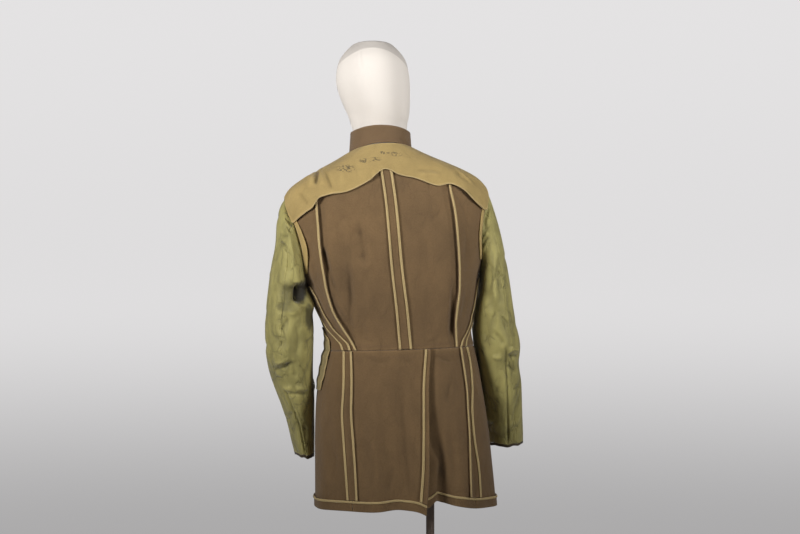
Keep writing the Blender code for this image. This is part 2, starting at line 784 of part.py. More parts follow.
def make_fronts(shop):
    for side, word in SIDES:
        reach = FRONT_LAP if side < 0 else FRONT_UNDERLAP
        upper = raised(upper_at, lap_lift) if side < 0 else upper_at
        skirt = raised(left_skirt_at, lap_lift) if side < 0 else right_skirt_at

        def columns(height, side=side, reach=reach):
            first = slide(outer_edge(side, height, "front"), height, side * SEAM_GAP / 2)
            last = slide(side * 180.0, height, side * reach)
            return in_order(side, spaced(first, last, even(10)))

        def skirt_columns(row, side=side, reach=reach, word=word):
            height = skirt_height(row)
            first = slide(getattr(side_skirt_at(row), word), height, side * SEAM_GAP / 2)
            last = slide(side * 180.0, height, side * reach)
            return in_order(side, spaced(first, last, even(12)))

        def hem_columns(row, side=side, skirt_columns=skirt_columns):
            if side < 0:
                return skirt_columns(row)
            last = slide(180.0, skirt_height(row), -FRONT_LAP - 2 * SEAM_GAP)
            return spaced(skirt_columns(row)[0], last, even(11))

        shop.sheet(f"upper_front_{word}", upper, UPPER_ROWS, columns, WOOL, "wool")
        shop.sheet(f"skirt_front_{word}", skirt, SKIRT_ROWS, skirt_columns, WOOL, "wool")
        make_hem(shop, f"front_{word}", skirt, hem_columns)


def make_hem(shop, word, skirt, columns):
    """The turned-up hem of a skirt piece, and the tape over its top edge."""
    hem = raised(skirt, layer(0.0, WOOL))
    tape = raised(skirt, layer(layer(0.0, WOOL), BINDING))
    tape_rows = [HEM_ROW - TAPE_WIDTH / (WAIST - HEM), HEM_ROW]
    shop.sheet(f"hem_{word}", hem, SKIRT_ROWS[:2], columns, WOOL, "wool")
    shop.sheet(f"hem_tape_{word}", tape, tape_rows, columns, BINDING, "binding_tape")


def make_skirt_back(shop):
    def turn_columns(row):
        edge = vent_at(row).angle
        return [slide(edge, skirt_height(row), -VENT_TURN), edge]

    def left_columns(row):
        first = slide(side_skirt_at(row).left, skirt_height(row), SEAM_GAP / 2)
        turn, edge = turn_columns(row)
        return spaced(first, turn, even(10)) + [edge]

    shop.sheet("skirt_back_left", left_skirt_at, SKIRT_ROWS, left_columns, WOOL, "wool")
    make_hem(shop, "back_left", left_skirt_at, left_columns)

    def underlap_drop(angle, row):
        """The right skirt drops under the left one at the vent, further towards the hem."""
        depth = UNDERLAP_DROP + UNDERLAP_HEM_DROP * (1 - row)
        return -depth * (1 - ease((angle - vent_at(row).angle) / UNDERLAP_SPAN))

    def past_vent(row):
        end = slide(side_skirt_at(row).right, skirt_height(row), -SEAM_GAP / 2)
        return spaced(vent_at(row).angle + 2.0, end, even(9))

    def right_columns(row):
        return spaced(UNDERLAP_EDGE, past_vent(row)[0], even(3))[:-1] + past_vent(row)

    right = raised(right_skirt_at, underlap_drop)
    shop.sheet("skirt_back_right", right, SKIRT_ROWS, right_columns, WOOL, "wool")
    make_hem(shop, "back_right", right, past_vent)

    def tape_columns(row):
        first = turn_columns(row)[0]
        return [first, slide(first, skirt_height(row), TAPE_WIDTH)]

    turn_back = raised(left_skirt_at, layer(0.0, WOOL))
    tape = raised(left_skirt_at, layer(layer(0.0, WOOL), BINDING))
    shop.sheet("vent_turn_back", turn_back, SEAM_ROWS, turn_columns, WOOL, "wool")
    shop.sheet("vent_tape", tape, SEAM_ROWS, tape_columns, BINDING, "binding_tape")


def make_seam(shop, name, surface, rows, seam_at, height_of):
    """A pressed-open seam: its allowances in one strip, and a bound tape on each edge."""

    def strip_columns(row):
        centre, half = seam_at(row)
        height = height_of(row)
        return [slide(centre, height, -half), centre, slide(centre, height, half)]

    def first_tape(row):
        first = strip_columns(row)[0]
        return [first, slide(first, height_of(row), TAPE_WIDTH)]

    def second_tape(row):
        last = strip_columns(row)[2]
        return [slide(last, height_of(row), -TAPE_WIDTH), last]

    strip = raised(surface, layer(0.0, COTTON))
    tape = raised(surface, layer(layer(0.0, COTTON), BINDING))
    shop.sheet(f"{name}_allowance", strip, rows, strip_columns, COTTON, "wool")
    shop.sheet(f"{name}_tape_1", tape, rows, first_tape, BINDING, "binding_tape")
    shop.sheet(f"{name}_tape_2", tape, rows, second_tape, BINDING, "binding_tape")


def make_seams(shop):
    def centre_seam(height):
        return centre_angle(height), CENTRE_ALLOWANCE / 2

    rows = rows_under_yoke(yoke_edge_at(0.0).height)
    make_seam(shop, "centre_back", upper_at, rows, centre_seam, float)
    for side, word in SIDES:

        def upper_seam(height, word=word):
            seam = side_upper_at(height)
            return getattr(seam, word), getattr(seam, word + "_half")

        def skirt_seam(row, word=word):
            seam = side_skirt_at(row)
            return getattr(seam, word), getattr(seam, word + "_half")

        skirt = left_skirt_at if side < 0 else right_skirt_at
        make_seam(shop, f"side_upper_{word}", upper_at, SIDE_SEAM_ROWS, upper_seam, float)
        make_seam(shop, f"side_skirt_{word}", skirt, SEAM_ROWS, skirt_seam, skirt_height)


def yoke_low(angle):
    """Lower edge of the yoke: across the back, then along the armhole and over the shoulder."""
    side = -1 if angle < 0 else 1
    behind = abs(angle) <= 90
    turns = range(90, 181, 2) if behind else range(180, 271, 2)
    armhole = [armhole_edge(side, turn) for turn in turns]
    reached = [height for place, height in armhole if abs(place) <= abs(angle)]
    if behind:
        return max([yoke_edge_at(angle).height] + reached)
    return max(min(reached), YOKE_FRONT_LOW)


def make_yoke(shop):
    angles = [-angle for angle in YOKE_ANGLES[::-1]] + [0.0] + list(YOKE_ANGLES)
    points = []
    for share in YOKE_SHARES:
        row = []
        for angle in angles:
            low = yoke_low(angle) + YOKE_CLEAR
            height = low + (YOKE_TOP - low) * share
            flare = YOKE_FLARE * (1 - ease((abs(angle) - YOKE_FLARE_END) / YOKE_FLARE_FADE))
            out = YOKE_STAND + flare * (1 - share) ** 2
            row.append(raised(upper_at, out)(angle, height))
        points.append(row)
    shop.wall("shoulder_yoke", points, COTTON, "yoke_cotton")


def make_armhole_strips(shop):
    strip = raised(upper_at, layer(STRIP_LIFT, COTTON))
    for side, word in SIDES:
        low = STRIP_LOW[side]
        rows = [low] + [row for row in ARM_ROWS if low < row < STRIP_TOP] + [STRIP_TOP]

        def columns(height, side=side):
            edge = slide(outer_edge(side, height, "back"), height, -side * STRIP_INSET)
            middle = slide(edge, height, -side * STRIP_WIDTH / 2)
            return in_order(-side, [edge, middle, slide(edge, height, -side * STRIP_WIDTH)])

        shop.sheet(f"armhole_strip_{word}", strip, rows, columns, COTTON, "yoke_cotton")


def make_collar(shop):
    top = COLLAR_TOP
    points = []
    for share in even(2):
        row = []
        for angle in spaced(-COLLAR_END, COLLAR_END, even(COLLAR_CELLS)):
            sine, cosine = turned(angle)
            depth = top.back if cosine > 0 else top.front
            end_rise = top.rise_back if cosine > 0 else top.rise_front
            low = body_point(angle, NECK) + Vector((0, 0, COLLAR_CLEAR))
            across = top.half_width * signed_power(sine, 2 / SQUARENESS)
            along = -depth * signed_power(cosine, 2 / SQUARENESS)
            rise = top.rise_side + (end_rise - top.rise_side) * cosine * cosine
            rise += across * math.tan(math.radians(top.tilt))
            high = Vector((SECTIONS[-1].centre_x + across, along, low.z + rise))
            row.append(low.lerp(high, share))
        points.append(row)
    shop.wall("stand_collar", points, WOOL, "collar_wool")


def make_sleeves(shop):
    spans = {
        "top_sleeve": (SLEEVE_BACK_SEAM, SLEEVE_FRONT_SEAM),
        "under_sleeve": (SLEEVE_FRONT_SEAM - 360.0, SLEEVE_BACK_SEAM),
    }
    for side, word in SIDES:
        surface = sleeve_at(side)
        mirrored = side > 0
        for piece, (first, last) in spans.items():

            def columns(_row, first=first, last=last):
                turns = spaced(first, last, even(round((last - first) / SLEEVE_STEP)))
                return [first + SLEEVE_PART] + turns[1:-1] + [last - SLEEVE_PART]

            shop.sheet(
                f"{piece}_{word}", surface, SLEEVE_ROWS, columns, LINING, "sleeve_lining", mirrored=mirrored
            )

        def ring(_row):
            return spaced(0.0, 360.0, even(CUFF_CELLS))

        shop.sheet(
            f"cuff_edge_{word}", surface, CUFF_ROWS, ring, WOOL, "cuff_wool", mirrored=mirrored, closed=True
        )


def make_pocket_bag(shop):
    """A cotton pocket bag on the left front, across the waist seam."""

    def front(angle, height):
        if height > WAIST:
            return upper_at(angle, height)
        return left_skirt_at(angle, (height - HEM) / (WAIST - HEM))

    points = []
    for height, _angle in POCKET_REAR:
        angles = spaced(POCKET_FRONT, pocket_rear_at(height).angle, even(6))
        points.append([front(angle, height) + body_normal(angle, height) * POCKET_OUT for angle in angles])
    shop.wall("pocket_bag_left", points, COTTON, "yoke_cotton")


def head_point(section, angle):
    sine, cosine = turned(angle)
    depth = section.back if cosine > 0 else section.front
    across = section.centre_x + section.half_width * sine
    return Vector((across, section.centre_y - depth * cosine, section.height))


def torso_point(row, angle):
    return body_point(angle, row.height) - body_normal(angle, row.height) * row.inset


def underside_point(row, angle):
    lowest = FORM_INSETS[0]
    edge = torso_point(lowest, angle)
    middle = section_at(lowest.height).centre_x
    return Vector((middle + (edge.x - middle) * row.share, edge.y * row.share, row.height))


def make_form(shop):
    """Head, neck and torso in one smooth closed skin, flat underneath."""
    rings = [(underside_point, row) for row in FORM_UNDERSIDE]
    rings += [(torso_point, row) for row in FORM_INSETS]
    rings += [(head_point, row) for row in HEAD_SECTIONS]
    shape = bmesh.new()
    bmesh.ops.create_uvsphere(shape, u_segments=FORM_SEGMENTS, v_segments=len(rings) + 1, radius=1.0)
    for vertex in shape.verts:
        latitude = math.degrees(math.asin(min(max(vertex.co.z, -1.0), 1.0)))
        step = round((latitude + 90.0) / 180.0 * (len(rings) + 1))
        angle = math.degrees(math.atan2(vertex.co.y, vertex.co.x)) + 90.0
        if step == 0:
            vertex.co = Vector((section_at(FORM_INSETS[0].height).centre_x, 0.0, FORM_BOTTOM))
        elif step > len(rings):
            vertex.co = Vector((HEAD_SECTIONS[-1].centre_x, HEAD_SECTIONS[-1].centre_y, HEAD_TOP))
        else:
            point_of, row = rings[step - 1]
            vertex.co = point_of(row, angle)
    shop.add("dress_form", shape, "form_cover")


def make_stand(shop):
    flange_top = FORM_BOTTOM - PART_GAP
    flange_low = flange_top - FLANGE_THICKNESS
    pole_low = BASE_THICKNESS + PART_GAP
    shop.disc("stand_base", BASE_RADIUS, 0.0, BASE_THICKNESS, 48, bevel=BASE_ROUNDING)
    shop.disc("stand_pole", POLE_RADIUS, pole_low, flange_low - PART_GAP, 20)
    shop.disc("stand_flange", FLANGE_RADIUS, flange_low, flange_top, 32)


def main():
    shop = Workshop()
    make_stand(shop)
    make_form(shop)
    make_upper_back(shop)
    make_fronts(shop)
    make_skirt_back(shop)
    make_seams(shop)
    make_sleeves(shop)
    make_collar(shop)
    make_yoke(shop)
    make_armhole_strips(shop)
    make_pocket_bag(shop)


main()
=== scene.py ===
"""The looks of a military service jacket, turned inside out, on a limbless dress form.

Metres, +Z up, and the garment's back faces -Y. A place on the cloth is an angle round the body (0 at
the centre back, 90 at the +X side, 180 at the centre front, minus on the -X side) and a row: a height
on the upper body, and 0 at the hem to 1 at the waist on the skirt. On a sleeve it is a turn round the
arm (0 inside, 90 behind, 180 outside) and a row from 0 at the armhole to 12 at the cuff.
"""
import collections
import math

import bmesh
import bpy
import numpy as np
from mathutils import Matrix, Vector


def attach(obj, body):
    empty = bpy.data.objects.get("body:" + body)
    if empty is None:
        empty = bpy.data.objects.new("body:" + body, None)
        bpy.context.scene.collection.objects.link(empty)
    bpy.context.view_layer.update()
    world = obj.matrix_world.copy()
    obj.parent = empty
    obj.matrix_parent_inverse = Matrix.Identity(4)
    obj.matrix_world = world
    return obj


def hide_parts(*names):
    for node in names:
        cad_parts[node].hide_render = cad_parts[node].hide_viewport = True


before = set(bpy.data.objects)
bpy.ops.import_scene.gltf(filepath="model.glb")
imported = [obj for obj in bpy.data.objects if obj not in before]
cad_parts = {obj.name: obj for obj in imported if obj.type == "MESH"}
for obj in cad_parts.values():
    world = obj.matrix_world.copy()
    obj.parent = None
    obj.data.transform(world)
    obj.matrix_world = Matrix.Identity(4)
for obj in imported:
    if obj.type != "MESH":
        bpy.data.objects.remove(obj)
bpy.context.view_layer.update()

MILLIMETRE = 0.001
UP = np.array([0.0, 0.0, 1.0])
RIGHT = np.array([1.0, 0.0, 0.0])

# Cloth thicknesses and the clearances between layers
WOOL = 0.0016
COTTON = 0.0012
LINING = 0.0010
BINDING = 0.0010
SEAM_GAP = 0.0006
LAYER_GAP = 0.0006

# Main heights of the garment
HEM = 0.705
WAIST = 1.038
UNDERARM = 1.195
SHOULDER_TIP = 1.370
NECK = 1.456

# Widths of the sewn-on strips, and how far they start from the edges they follow
TAPE_WIDTH = 0.0048
TAPE_INSET = 0.0004
TAPE_CROWN = 0.0005
CENTRE_ALLOWANCE = 0.027
HEM_ROW = 0.06
VENT_TURN = 0.0125
STRIP_WIDTH = 0.010
STRIP_INSET = 0.0022
STRIP_LIFT = 0.0004
STRIP_LOW = {-1: UNDERARM + 0.010, 1: UNDERARM + 0.022}
STRIP_TOP = 1.322
# The armhole strips swell and stand off the back in their middle, more on the left
STRIP_SWELL = {-1: 0.0065, 1: 0.0}
STRIP_STAND = {-1: 0.0038, 1: 0.0016}
WAIST_CLEAR = 0.001
UNDER_YOKE = 0.007
# Rows of the skirt that its seam strips cover, and the top of the side seams' upper strips
STRIP_ROWS = (HEM_ROW + 0.004, 0.995)
SIDE_SEAM_TOP = UNDERARM - 0.016

# The fronts lap at the centre front: the left one rises over the right one
FRONT_LAP = 0.030
FRONT_REACH = {-1: FRONT_LAP, 1: 0.020}
LAP_RISE = 0.0030
LAP_START = 148.0
LAP_SPAN = 14.0

# The back drops under the side back's free edge, which stands off it between waist and yoke
STEP_NEAR = 0.016
STEP_UNDER = 0.004
STEP_DEPTH = 0.0026
BACK_UNDER = 0.010
SHOULDER_EDGE = 89.7
SHOULDER_SHARES = (0.0, 0.63, 0.85, 1.0)
PLEAT_LIFT = 0.0042
PLEAT_LIFT_WIDTH = 0.030
PLEAT_LIFT_TOP = 1.325
PLEAT_LIFT_FADE = 0.045
PLEAT_TOP = 1.409
PLEAT_BLEND = 0.013
SIDE_BACK_TOP = 1.398

# The right skirt drops under the left one at the vent, further towards the hem
UNDERLAP_EDGE = -8.0
UNDERLAP_DROP = 0.0030
UNDERLAP_HEM_DROP = 0.012
UNDERLAP_SPAN = 8.0
UNDERLAP_HEM_START = 2.0

# The yoke stands off the back, and flares towards its free edge but not along the armholes
YOKE_STAND = 0.0034
YOKE_FLARE_END = 66.0
YOKE_FLARE_FADE = 14.0
YOKE_CLEAR = 0.0015
YOKE_TOP = NECK - 0.003
YOKE_FRONT_LOW = 1.362
YOKE_END = 111.0
YOKE_ROLL = 0.0011

# How square the body's cross sections are: 2 would be an ellipse
SQUARENESS = 2.25

# Steps for finding the way a surface faces, and an angle that lies a distance further round
ANGLE_STEP = 0.4
ROW_STEP = 0.001
SLIDE_GUESS = 0.5
SLIDE_LEAST = 0.05
SLIDE_ROUNDS = 3
# Shortest vector that has a direction, and the distance at which points are merged
TINY = 1e-12
MERGE = 1e-7

# Cell sizes of the cloth: fine where the photo looks, coarser at the front
FINE = 0.0026
COARSE = 0.005
SLEEVE_CELL = 0.0019
FORM_CELL = 0.006

# Cells across each piece: the back's lie before its step, down the step and under the side back
BACK_CELLS = (42, 6, 5)
SIDE_BACK_CELLS = 26
STRIP_CELLS = 5
FRONT_CELLS = 56
SKIRT_FRONT_CELLS = 76
SKIRT_BACK_CELLS = 64
UNDERLAP_CELLS = (14, 42)
UNDERLAP_HEM_CELLS = 46
TURN_BACK_CELLS = 6
SEAM_CELLS = 4
TAPE_CELLS = 4
HEM_FOLD_CELLS = 6
CUFF_CELLS = 4
POCKET_CELLS = 40
YOKE_COLUMNS = 361
YOKE_ROWS = 64
COLLAR_ROWS = 15
FORM_COLUMNS = 180
HEAD_STEPS = 12
BOUND_EDGE_SIDES = 8

# The waist seam lies in a soft tuck, and a pressed-open seam rises from its stitches to its edges
WAIST_TUCK = 0.0010
WAIST_TUCK_WIDTH = 0.0035
WAIST_GAP = 0.0001
SEAM_RISE = 0.0004
SIDE_RISE = {-1: 0.0012, 1: 0.0026}

# Stitches: how far they lie above the cloth and in from an edge, and the rows beside the waist seam
STITCH_RISE = 0.0002
FRONT_STITCH_INSET = 0.006
CUFF_STITCH_ROW = 11.75
WAIST_STITCH_RISE = 0.0003
WAIST_STITCH_LENGTH = 0.12
WAIST_STITCH_HEIGHTS = (WAIST + 0.0085, WAIST + 0.0105)
WAIST_STITCH_ROWS = (0.960, 0.950)
WAIST_STITCH_STARTS = {-1: 6.0, 1: 18.0}


def table(columns, *rows):
    """Rows of numbers with named columns."""
    kind = collections.namedtuple("Row", columns)
    return tuple(kind(*row) for row in rows)


# Cross sections of the jacket's body from hem to neck seam, lengths in metres, tilt in degrees
SECTIONS = table(
    "height centre_x half_width back front tilt back_lift front_lift",
    (0.675, -0.0565, 0.1940, 0.149, 0.149, 0.0, 0.000, 0.000),
    (0.780, -0.059, 0.191, 0.138, 0.141, 0.0, 0.000, 0.000),
    (0.860, -0.062, 0.187, 0.128, 0.134, 0.3, 0.000, 0.000),
    (0.945, -0.066, 0.178, 0.115, 0.126, 0.8, 0.000, 0.000),
    (1.000, -0.067, 0.169, 0.105, 0.119, 1.2, 0.000, 0.000),
    (1.040, -0.067, 0.160, 0.100, 0.115, 1.5, 0.000, 0.000),
    (1.065, -0.069, 0.157, 0.099, 0.115, 1.7, 0.000, 0.000),
    (1.096, -0.072, 0.162, 0.103, 0.118, 2.0, 0.000, 0.000),
    (1.130, -0.076, 0.173, 0.110, 0.123, 2.3, 0.000, 0.000),
    (1.176, -0.082, 0.184, 0.117, 0.128, 2.6, 0.000, 0.000),
    (1.215, -0.086, 0.199, 0.121, 0.127, 2.9, 0.000, 0.000),
    (1.260, -0.089, 0.212, 0.123, 0.124, 3.1, 0.000, 0.000),
    (1.310, -0.092, 0.219, 0.121, 0.116, 3.3, 0.000, 0.000),
    (1.357, -0.096, 0.219, 0.115, 0.106, 3.4, 0.004, -0.002),
    (1.372, -0.098, 0.212, 0.111, 0.102, 3.4, 0.008, -0.004),
    (1.388, -0.100, 0.198, 0.106, 0.098, 3.4, 0.011, -0.006),
    (1.404, -0.102, 0.173, 0.099, 0.092, 3.4, 0.013, -0.010),
    (1.420, -0.104, 0.141, 0.090, 0.084, 3.4, 0.014, -0.016),
    (1.437, -0.106, 0.104, 0.078, 0.074, 3.4, 0.015, -0.025),
    (1.456, -0.108, 0.067, 0.062, 0.062, 3.4, 0.015, -0.036),
)

# The centre-back seam's distance from the centre line
CENTRE_SEAM = table(
    "height across",
    (1.038, 0.0005),
    (1.160, -0.0010),
    (1.286, -0.0045),
    (1.400, -0.0070),
    (1.456, -0.0080),
)

# Side seams: the seam's angle and the half width of its pressed-open allowance, by height
SIDE_UPPER = table(
    "height left right left_half right_half",
    (1.038, -46.0, 50.0, 0.0105, 0.0095),
    (1.052, -49.0, 54.0, 0.0110, 0.0086),
    (1.066, -56.0, 62.0, 0.0115, 0.0084),
    (1.085, -65.5, 71.0, 0.0125, 0.0110),
    (1.105, -70.5, 75.0, 0.0135, 0.0140),
    (1.140, -74.0, 76.5, 0.0140, 0.0150),
    (1.195, -79.0, 85.0, 0.0120, 0.0140),
)
# The same for the skirt
SIDE_SKIRT = table(
    "row left right left_half right_half",
    (0.06, -36.0, 42.0, 0.0125, 0.0165),
    (0.25, -37.2, 42.7, 0.0130, 0.0140),
    (0.43, -38.5, 42.7, 0.0130, 0.0085),
    (0.60, -40.0, 44.5, 0.0125, 0.0075),
    (0.75, -40.0, 48.0, 0.0115, 0.0100),
    (0.88, -41.5, 49.5, 0.0110, 0.0120),
    (1.00, -45.0, 50.0, 0.0105, 0.0110),
)

# Free inner edge of each side-back piece, as a distance from the centre line
PLEAT_EDGES = table(
    "height left right",
    (1.038, -0.099, 0.110),
    (1.060, -0.108, 0.109),
    (1.085, -0.119, 0.109),
    (1.120, -0.134, 0.115),
    (1.158, -0.142, 0.124),
    (1.200, -0.146, 0.128),
    (1.255, -0.151, 0.128),
    (1.310, -0.152, 0.126),
    (1.365, -0.153, 0.122),
    (1.412, -0.154, 0.126),
)

# Vent edge of the left skirt back, by skirt row
VENT_EDGE = table(
    "row angle",
    (0.00, 6.0),
    (0.12, 7.2),
    (0.26, 8.6),
    (0.45, 10.0),
    (0.63, 11.6),
    (0.80, 13.4),
    (1.00, 17.0),
)

# Hem heights round each half of the skirt: the left one droops at the vent's corner
HEM_LEFT = table(
    "angle height",
    (-200, 0.702),
    (-110, 0.704),
    (-72, 0.706),
    (-43, 0.709),
    (-18, 0.710),
    (-5, 0.714),
    (3, 0.708),
    (11, 0.689),
)
HEM_RIGHT = table(
    "angle height",
    (-12, 0.724),
    (6, 0.717),
    (10, 0.716),
    (14, 0.728),
    (19, 0.726),
    (26, 0.718),
    (33, 0.713),
    (63, 0.705),
    (110, 0.704),
    (200, 0.702),
)

# Lower edge of the shoulder yoke across the back
YOKE_EDGE = table(
    "angle height",
    (-64.0, 1.313),
    (-50.0, 1.332),
    (-44.0, 1.340),
    (-40.0, 1.354),
    (-35.0, 1.359),
    (-21.0, 1.364),
    (-10.0, 1.379),
    (-1.5, 1.397),
    (4.0, 1.386),
    (12.0, 1.379),
    (24.0, 1.365),
    (34.0, 1.367),
    (40.0, 1.358),
    (46.0, 1.341),
    (60.0, 1.318),
)

# How far the yoke's free edge stands off the back
YOKE_FLARE = table(
    "angle out",
    (-66.0, 0.0020),
    (-50.0, 0.0040),
    (-41.0, 0.0072),
    (-34.0, 0.0044),
    (-20.0, 0.0020),
    (0.0, 0.0030),
    (14.0, 0.0018),
    (32.0, 0.0024),
    (44.0, 0.0070),
    (54.0, 0.0040),
    (66.0, 0.0020),
)

# Soft folds: a fold runs from a top place to a low place, growing and fading as it goes
FOLD_GROWTH = 1.4
FOLD_FADE = 0.25
FOLD_COLUMNS = "top top_angle low low_angle spread top_rise low_rise"
UPPER_FOLDS = table(
    FOLD_COLUMNS,
    (1.235, -29.0, 1.075, -33.0, 8.0, -0.004, -0.007),
    (1.300, 18.0, 1.120, 20.0, 9.0, 0.000, -0.004),
)
LEFT_SKIRT_FOLDS = table(
    FOLD_COLUMNS,
    (1.00, 20.0, 0.00, 12.0, 9.0, 0.002, 0.022),
    (0.90, -4.0, 0.00, -9.0, 7.0, 0.000, -0.007),
    (0.60, -22.0, 0.00, -20.0, 8.0, 0.000, 0.007),
    (0.70, -62.0, 0.00, -64.0, 10.0, 0.000, 0.006),
    (0.80, -130.0, 0.00, -128.0, 13.0, 0.000, 0.008),
    (0.70, -98.0, 0.00, -100.0, 11.0, 0.000, -0.006),
)
RIGHT_SKIRT_FOLDS = table(
    FOLD_COLUMNS,
    (0.68, 16.0, 0.00, 17.0, 7.0, 0.000, -0.026),
    (0.75, 33.0, 0.00, 31.0, 6.0, 0.000, 0.006),
    (0.70, 66.0, 0.00, 70.0, 10.0, 0.000, 0.007),
    (0.80, 128.0, 0.00, 126.0, 13.0, 0.000, 0.008),
    (0.70, 98.0, 0.00, 100.0, 11.0, 0.000, -0.006),
)

# Armholes: where the side seam meets them, and how far they reach to the back and the front
Armhole = collections.namedtuple("Armhole", "underarm_angle back_spread front_spread")
ARMHOLES = {-1: Armhole(79.0, 21.0, 27.0), 1: Armhole(85.0, 26.0, 27.0)}
# How much narrower an armhole is towards the underarm, and the turns of its upper half
ARMHOLE_LEAN = 0.3
ARMHOLE_BACK = np.arange(90.0, 181.0, 2.0)
ARMHOLE_FRONT = np.arange(180.0, 271.0, 2.0)

# Sleeve sections from the armhole to the cuff: the line that shows outside and inside the arm
SLEEVE_COLUMNS = "outer_x outer_z inner_x inner_z centre_y half_depth"
SLEEVES = {
    -1: table(
        SLEEVE_COLUMNS,
        (-0.3235, 1.335, -0.2680, 1.1620, -0.010, 0.066),
        (-0.330, 1.303, -0.2655, 1.1540, -0.006, 0.071),
        (-0.333, 1.257, -0.2620, 1.1430, -0.003, 0.075),
        (-0.341, 1.214, -0.2575, 1.1280, 0.000, 0.076),
        (-0.347, 1.171, -0.2535, 1.1070, 0.001, 0.077),
        (-0.354, 1.100, -0.2510, 1.0750, 0.004, 0.076),
        (-0.353, 1.042, -0.2515, 1.0350, 0.010, 0.074),
        (-0.3465, 0.987, -0.2515, 0.9830, 0.022, 0.072),
        (-0.324, 0.927, -0.2475, 0.9340, 0.042, 0.069),
        (-0.306, 0.875, -0.2460, 0.8880, 0.062, 0.065),
        (-0.295, 0.830, -0.2450, 0.8400, 0.076, 0.061),
        (-0.287, 0.801, -0.2450, 0.7970, 0.084, 0.058),
    ),
    1: table(
        SLEEVE_COLUMNS,
        (0.1270, 1.363, 0.1062, 1.1870, 0.000, 0.066),
        (0.1390, 1.328, 0.1050, 1.1730, 0.000, 0.071),
        (0.1510, 1.285, 0.1030, 1.1570, 0.000, 0.075),
        (0.1620, 1.233, 0.1000, 1.1390, 0.000, 0.076),
        (0.1715, 1.180, 0.0965, 1.1180, 0.001, 0.077),
        (0.1815, 1.117, 0.0935, 1.0870, 0.004, 0.076),
        (0.1925, 1.057, 0.0965, 1.0500, 0.008, 0.074),
        (0.2005, 0.998, 0.1045, 0.9980, 0.017, 0.072),
        (0.2050, 0.939, 0.1135, 0.9430, 0.030, 0.069),
        (0.2100, 0.885, 0.1235, 0.8940, 0.046, 0.065),
        (0.2150, 0.846, 0.1335, 0.8520, 0.062, 0.061),
        (0.2170, 0.821, 0.1400, 0.8170, 0.070, 0.058),
    ),
}
# Rows that the lining and the cuff's edge cover, the arm's length and girth, and the seams' turns
SLEEVE_FIRST = 0.08
SLEEVE_LAST = 11.80
CUFF_FIRST = 11.82
CUFF_LAST = 12.0
SLEEVE_LENGTH = 0.56
SLEEVE_GIRTH = 0.26
GIRTH_STEP = SLEEVE_GIRTH / 360.0
ROW_LENGTH = SLEEVE_LENGTH / CUFF_LAST
SLEEVE_BACK_SEAM = 112.5
SLEEVE_FRONT_SEAM = 315.0
SLEEVE_PART = 0.15

# Bends across the back of each elbow: the row they lie on and the turns they cover
BEND_FADE = 40.0
ELBOW_BENDS = table(
    "row first_turn last_turn spread rise",
    (8.0, 60.0, 200.0, 0.45, -0.005),
    (7.2, 70.0, 190.0, 0.50, 0.003),
)

# Stand collar: the ring at its top, round the neck
Collar = collections.namedtuple("Collar", "half_width back front rise_side rise_back rise_front tilt")
COLLAR_TOP = Collar(0.0640, 0.0600, 0.0600, 0.040, 0.037, 0.036, -4.3)
COLLAR_END = 176.0
COLLAR_LENGTH = 0.40
COLLAR_CLEAR = 0.0012

# The form inside the jacket: how far it stays inside the cloth, then the sections of its head
FORM_INSETS = table(
    "height inset",
    (0.830, 0.046),
    (0.900, 0.033),
    (1.000, 0.018),
    (1.065, 0.013),
    (1.130, 0.014),
    (1.200, 0.018),
    (1.280, 0.024),
    (1.340, 0.021),
    (1.370, 0.013),
    (1.388, 0.0078),
    (1.409, 0.0070),
    (1.423, 0.0080),
    (1.438, 0.0050),
    (1.456, 0.0032),
)
FORM_UNDERSIDE = table("share height", (0.0, 0.800), (0.30, 0.800), (0.80, 0.800), (0.95, 0.808))
HEAD_SECTIONS = table(
    "height centre_x centre_y half_width back front",
    (1.478, -0.108, 0.001, 0.0565, 0.0530, 0.0530),
    (1.500, -0.109, 0.003, 0.0575, 0.0560, 0.0560),
    (1.516, -0.1104, 0.005, 0.0605, 0.0640, 0.0620),
    (1.533, -0.111, 0.007, 0.0649, 0.0745, 0.0720),
    (1.556, -0.115, 0.009, 0.0710, 0.0860, 0.0840),
    (1.580, -0.1195, 0.010, 0.0760, 0.0930, 0.0920),
    (1.603, -0.1227, 0.010, 0.0787, 0.0960, 0.0960),
    (1.626, -0.124, 0.010, 0.0778, 0.0950, 0.0950),
    (1.650, -0.1244, 0.010, 0.0722, 0.0880, 0.0880),
    (1.666, -0.1245, 0.010, 0.0628, 0.0770, 0.0770),
    (1.680, -0.1244, 0.010, 0.0500, 0.0610, 0.0610),
    (1.690, -0.1245, 0.010, 0.0350, 0.0430, 0.0430),
    (1.6955, -0.1245, 0.010, 0.0000, 0.0000, 0.0000),
)

# Pocket bag on the left front: only its rear edge shows from behind
POCKET_REAR = table(
    "height angle",
    (0.952, -75.0),
    (0.975, -71.0),
    (1.005, -69.5),
    (1.038, -69.5),
    (1.060, -72.0),
    (1.073, -81.0),
    (1.086, -92.0),
)
POCKET_FRONT = -118.0
POCKET_LENGTH = 0.14
POCKET_OUT = 0.0025
# Slack waves across the pocket bag: where each lies, how far it spreads and how far it stands out
POCKET_WAVES = table(
    "height spread out",
    (0.972, 0.008, 0.0018),
    (0.998, 0.007, 0.0010),
    (1.024, 0.009, 0.0026),
    (1.052, 0.007, 0.0016),
    (1.070, 0.006, 0.0008),
    (1.090, 0.011, -0.0012),
)
POCKET_BINDING = 0.0013

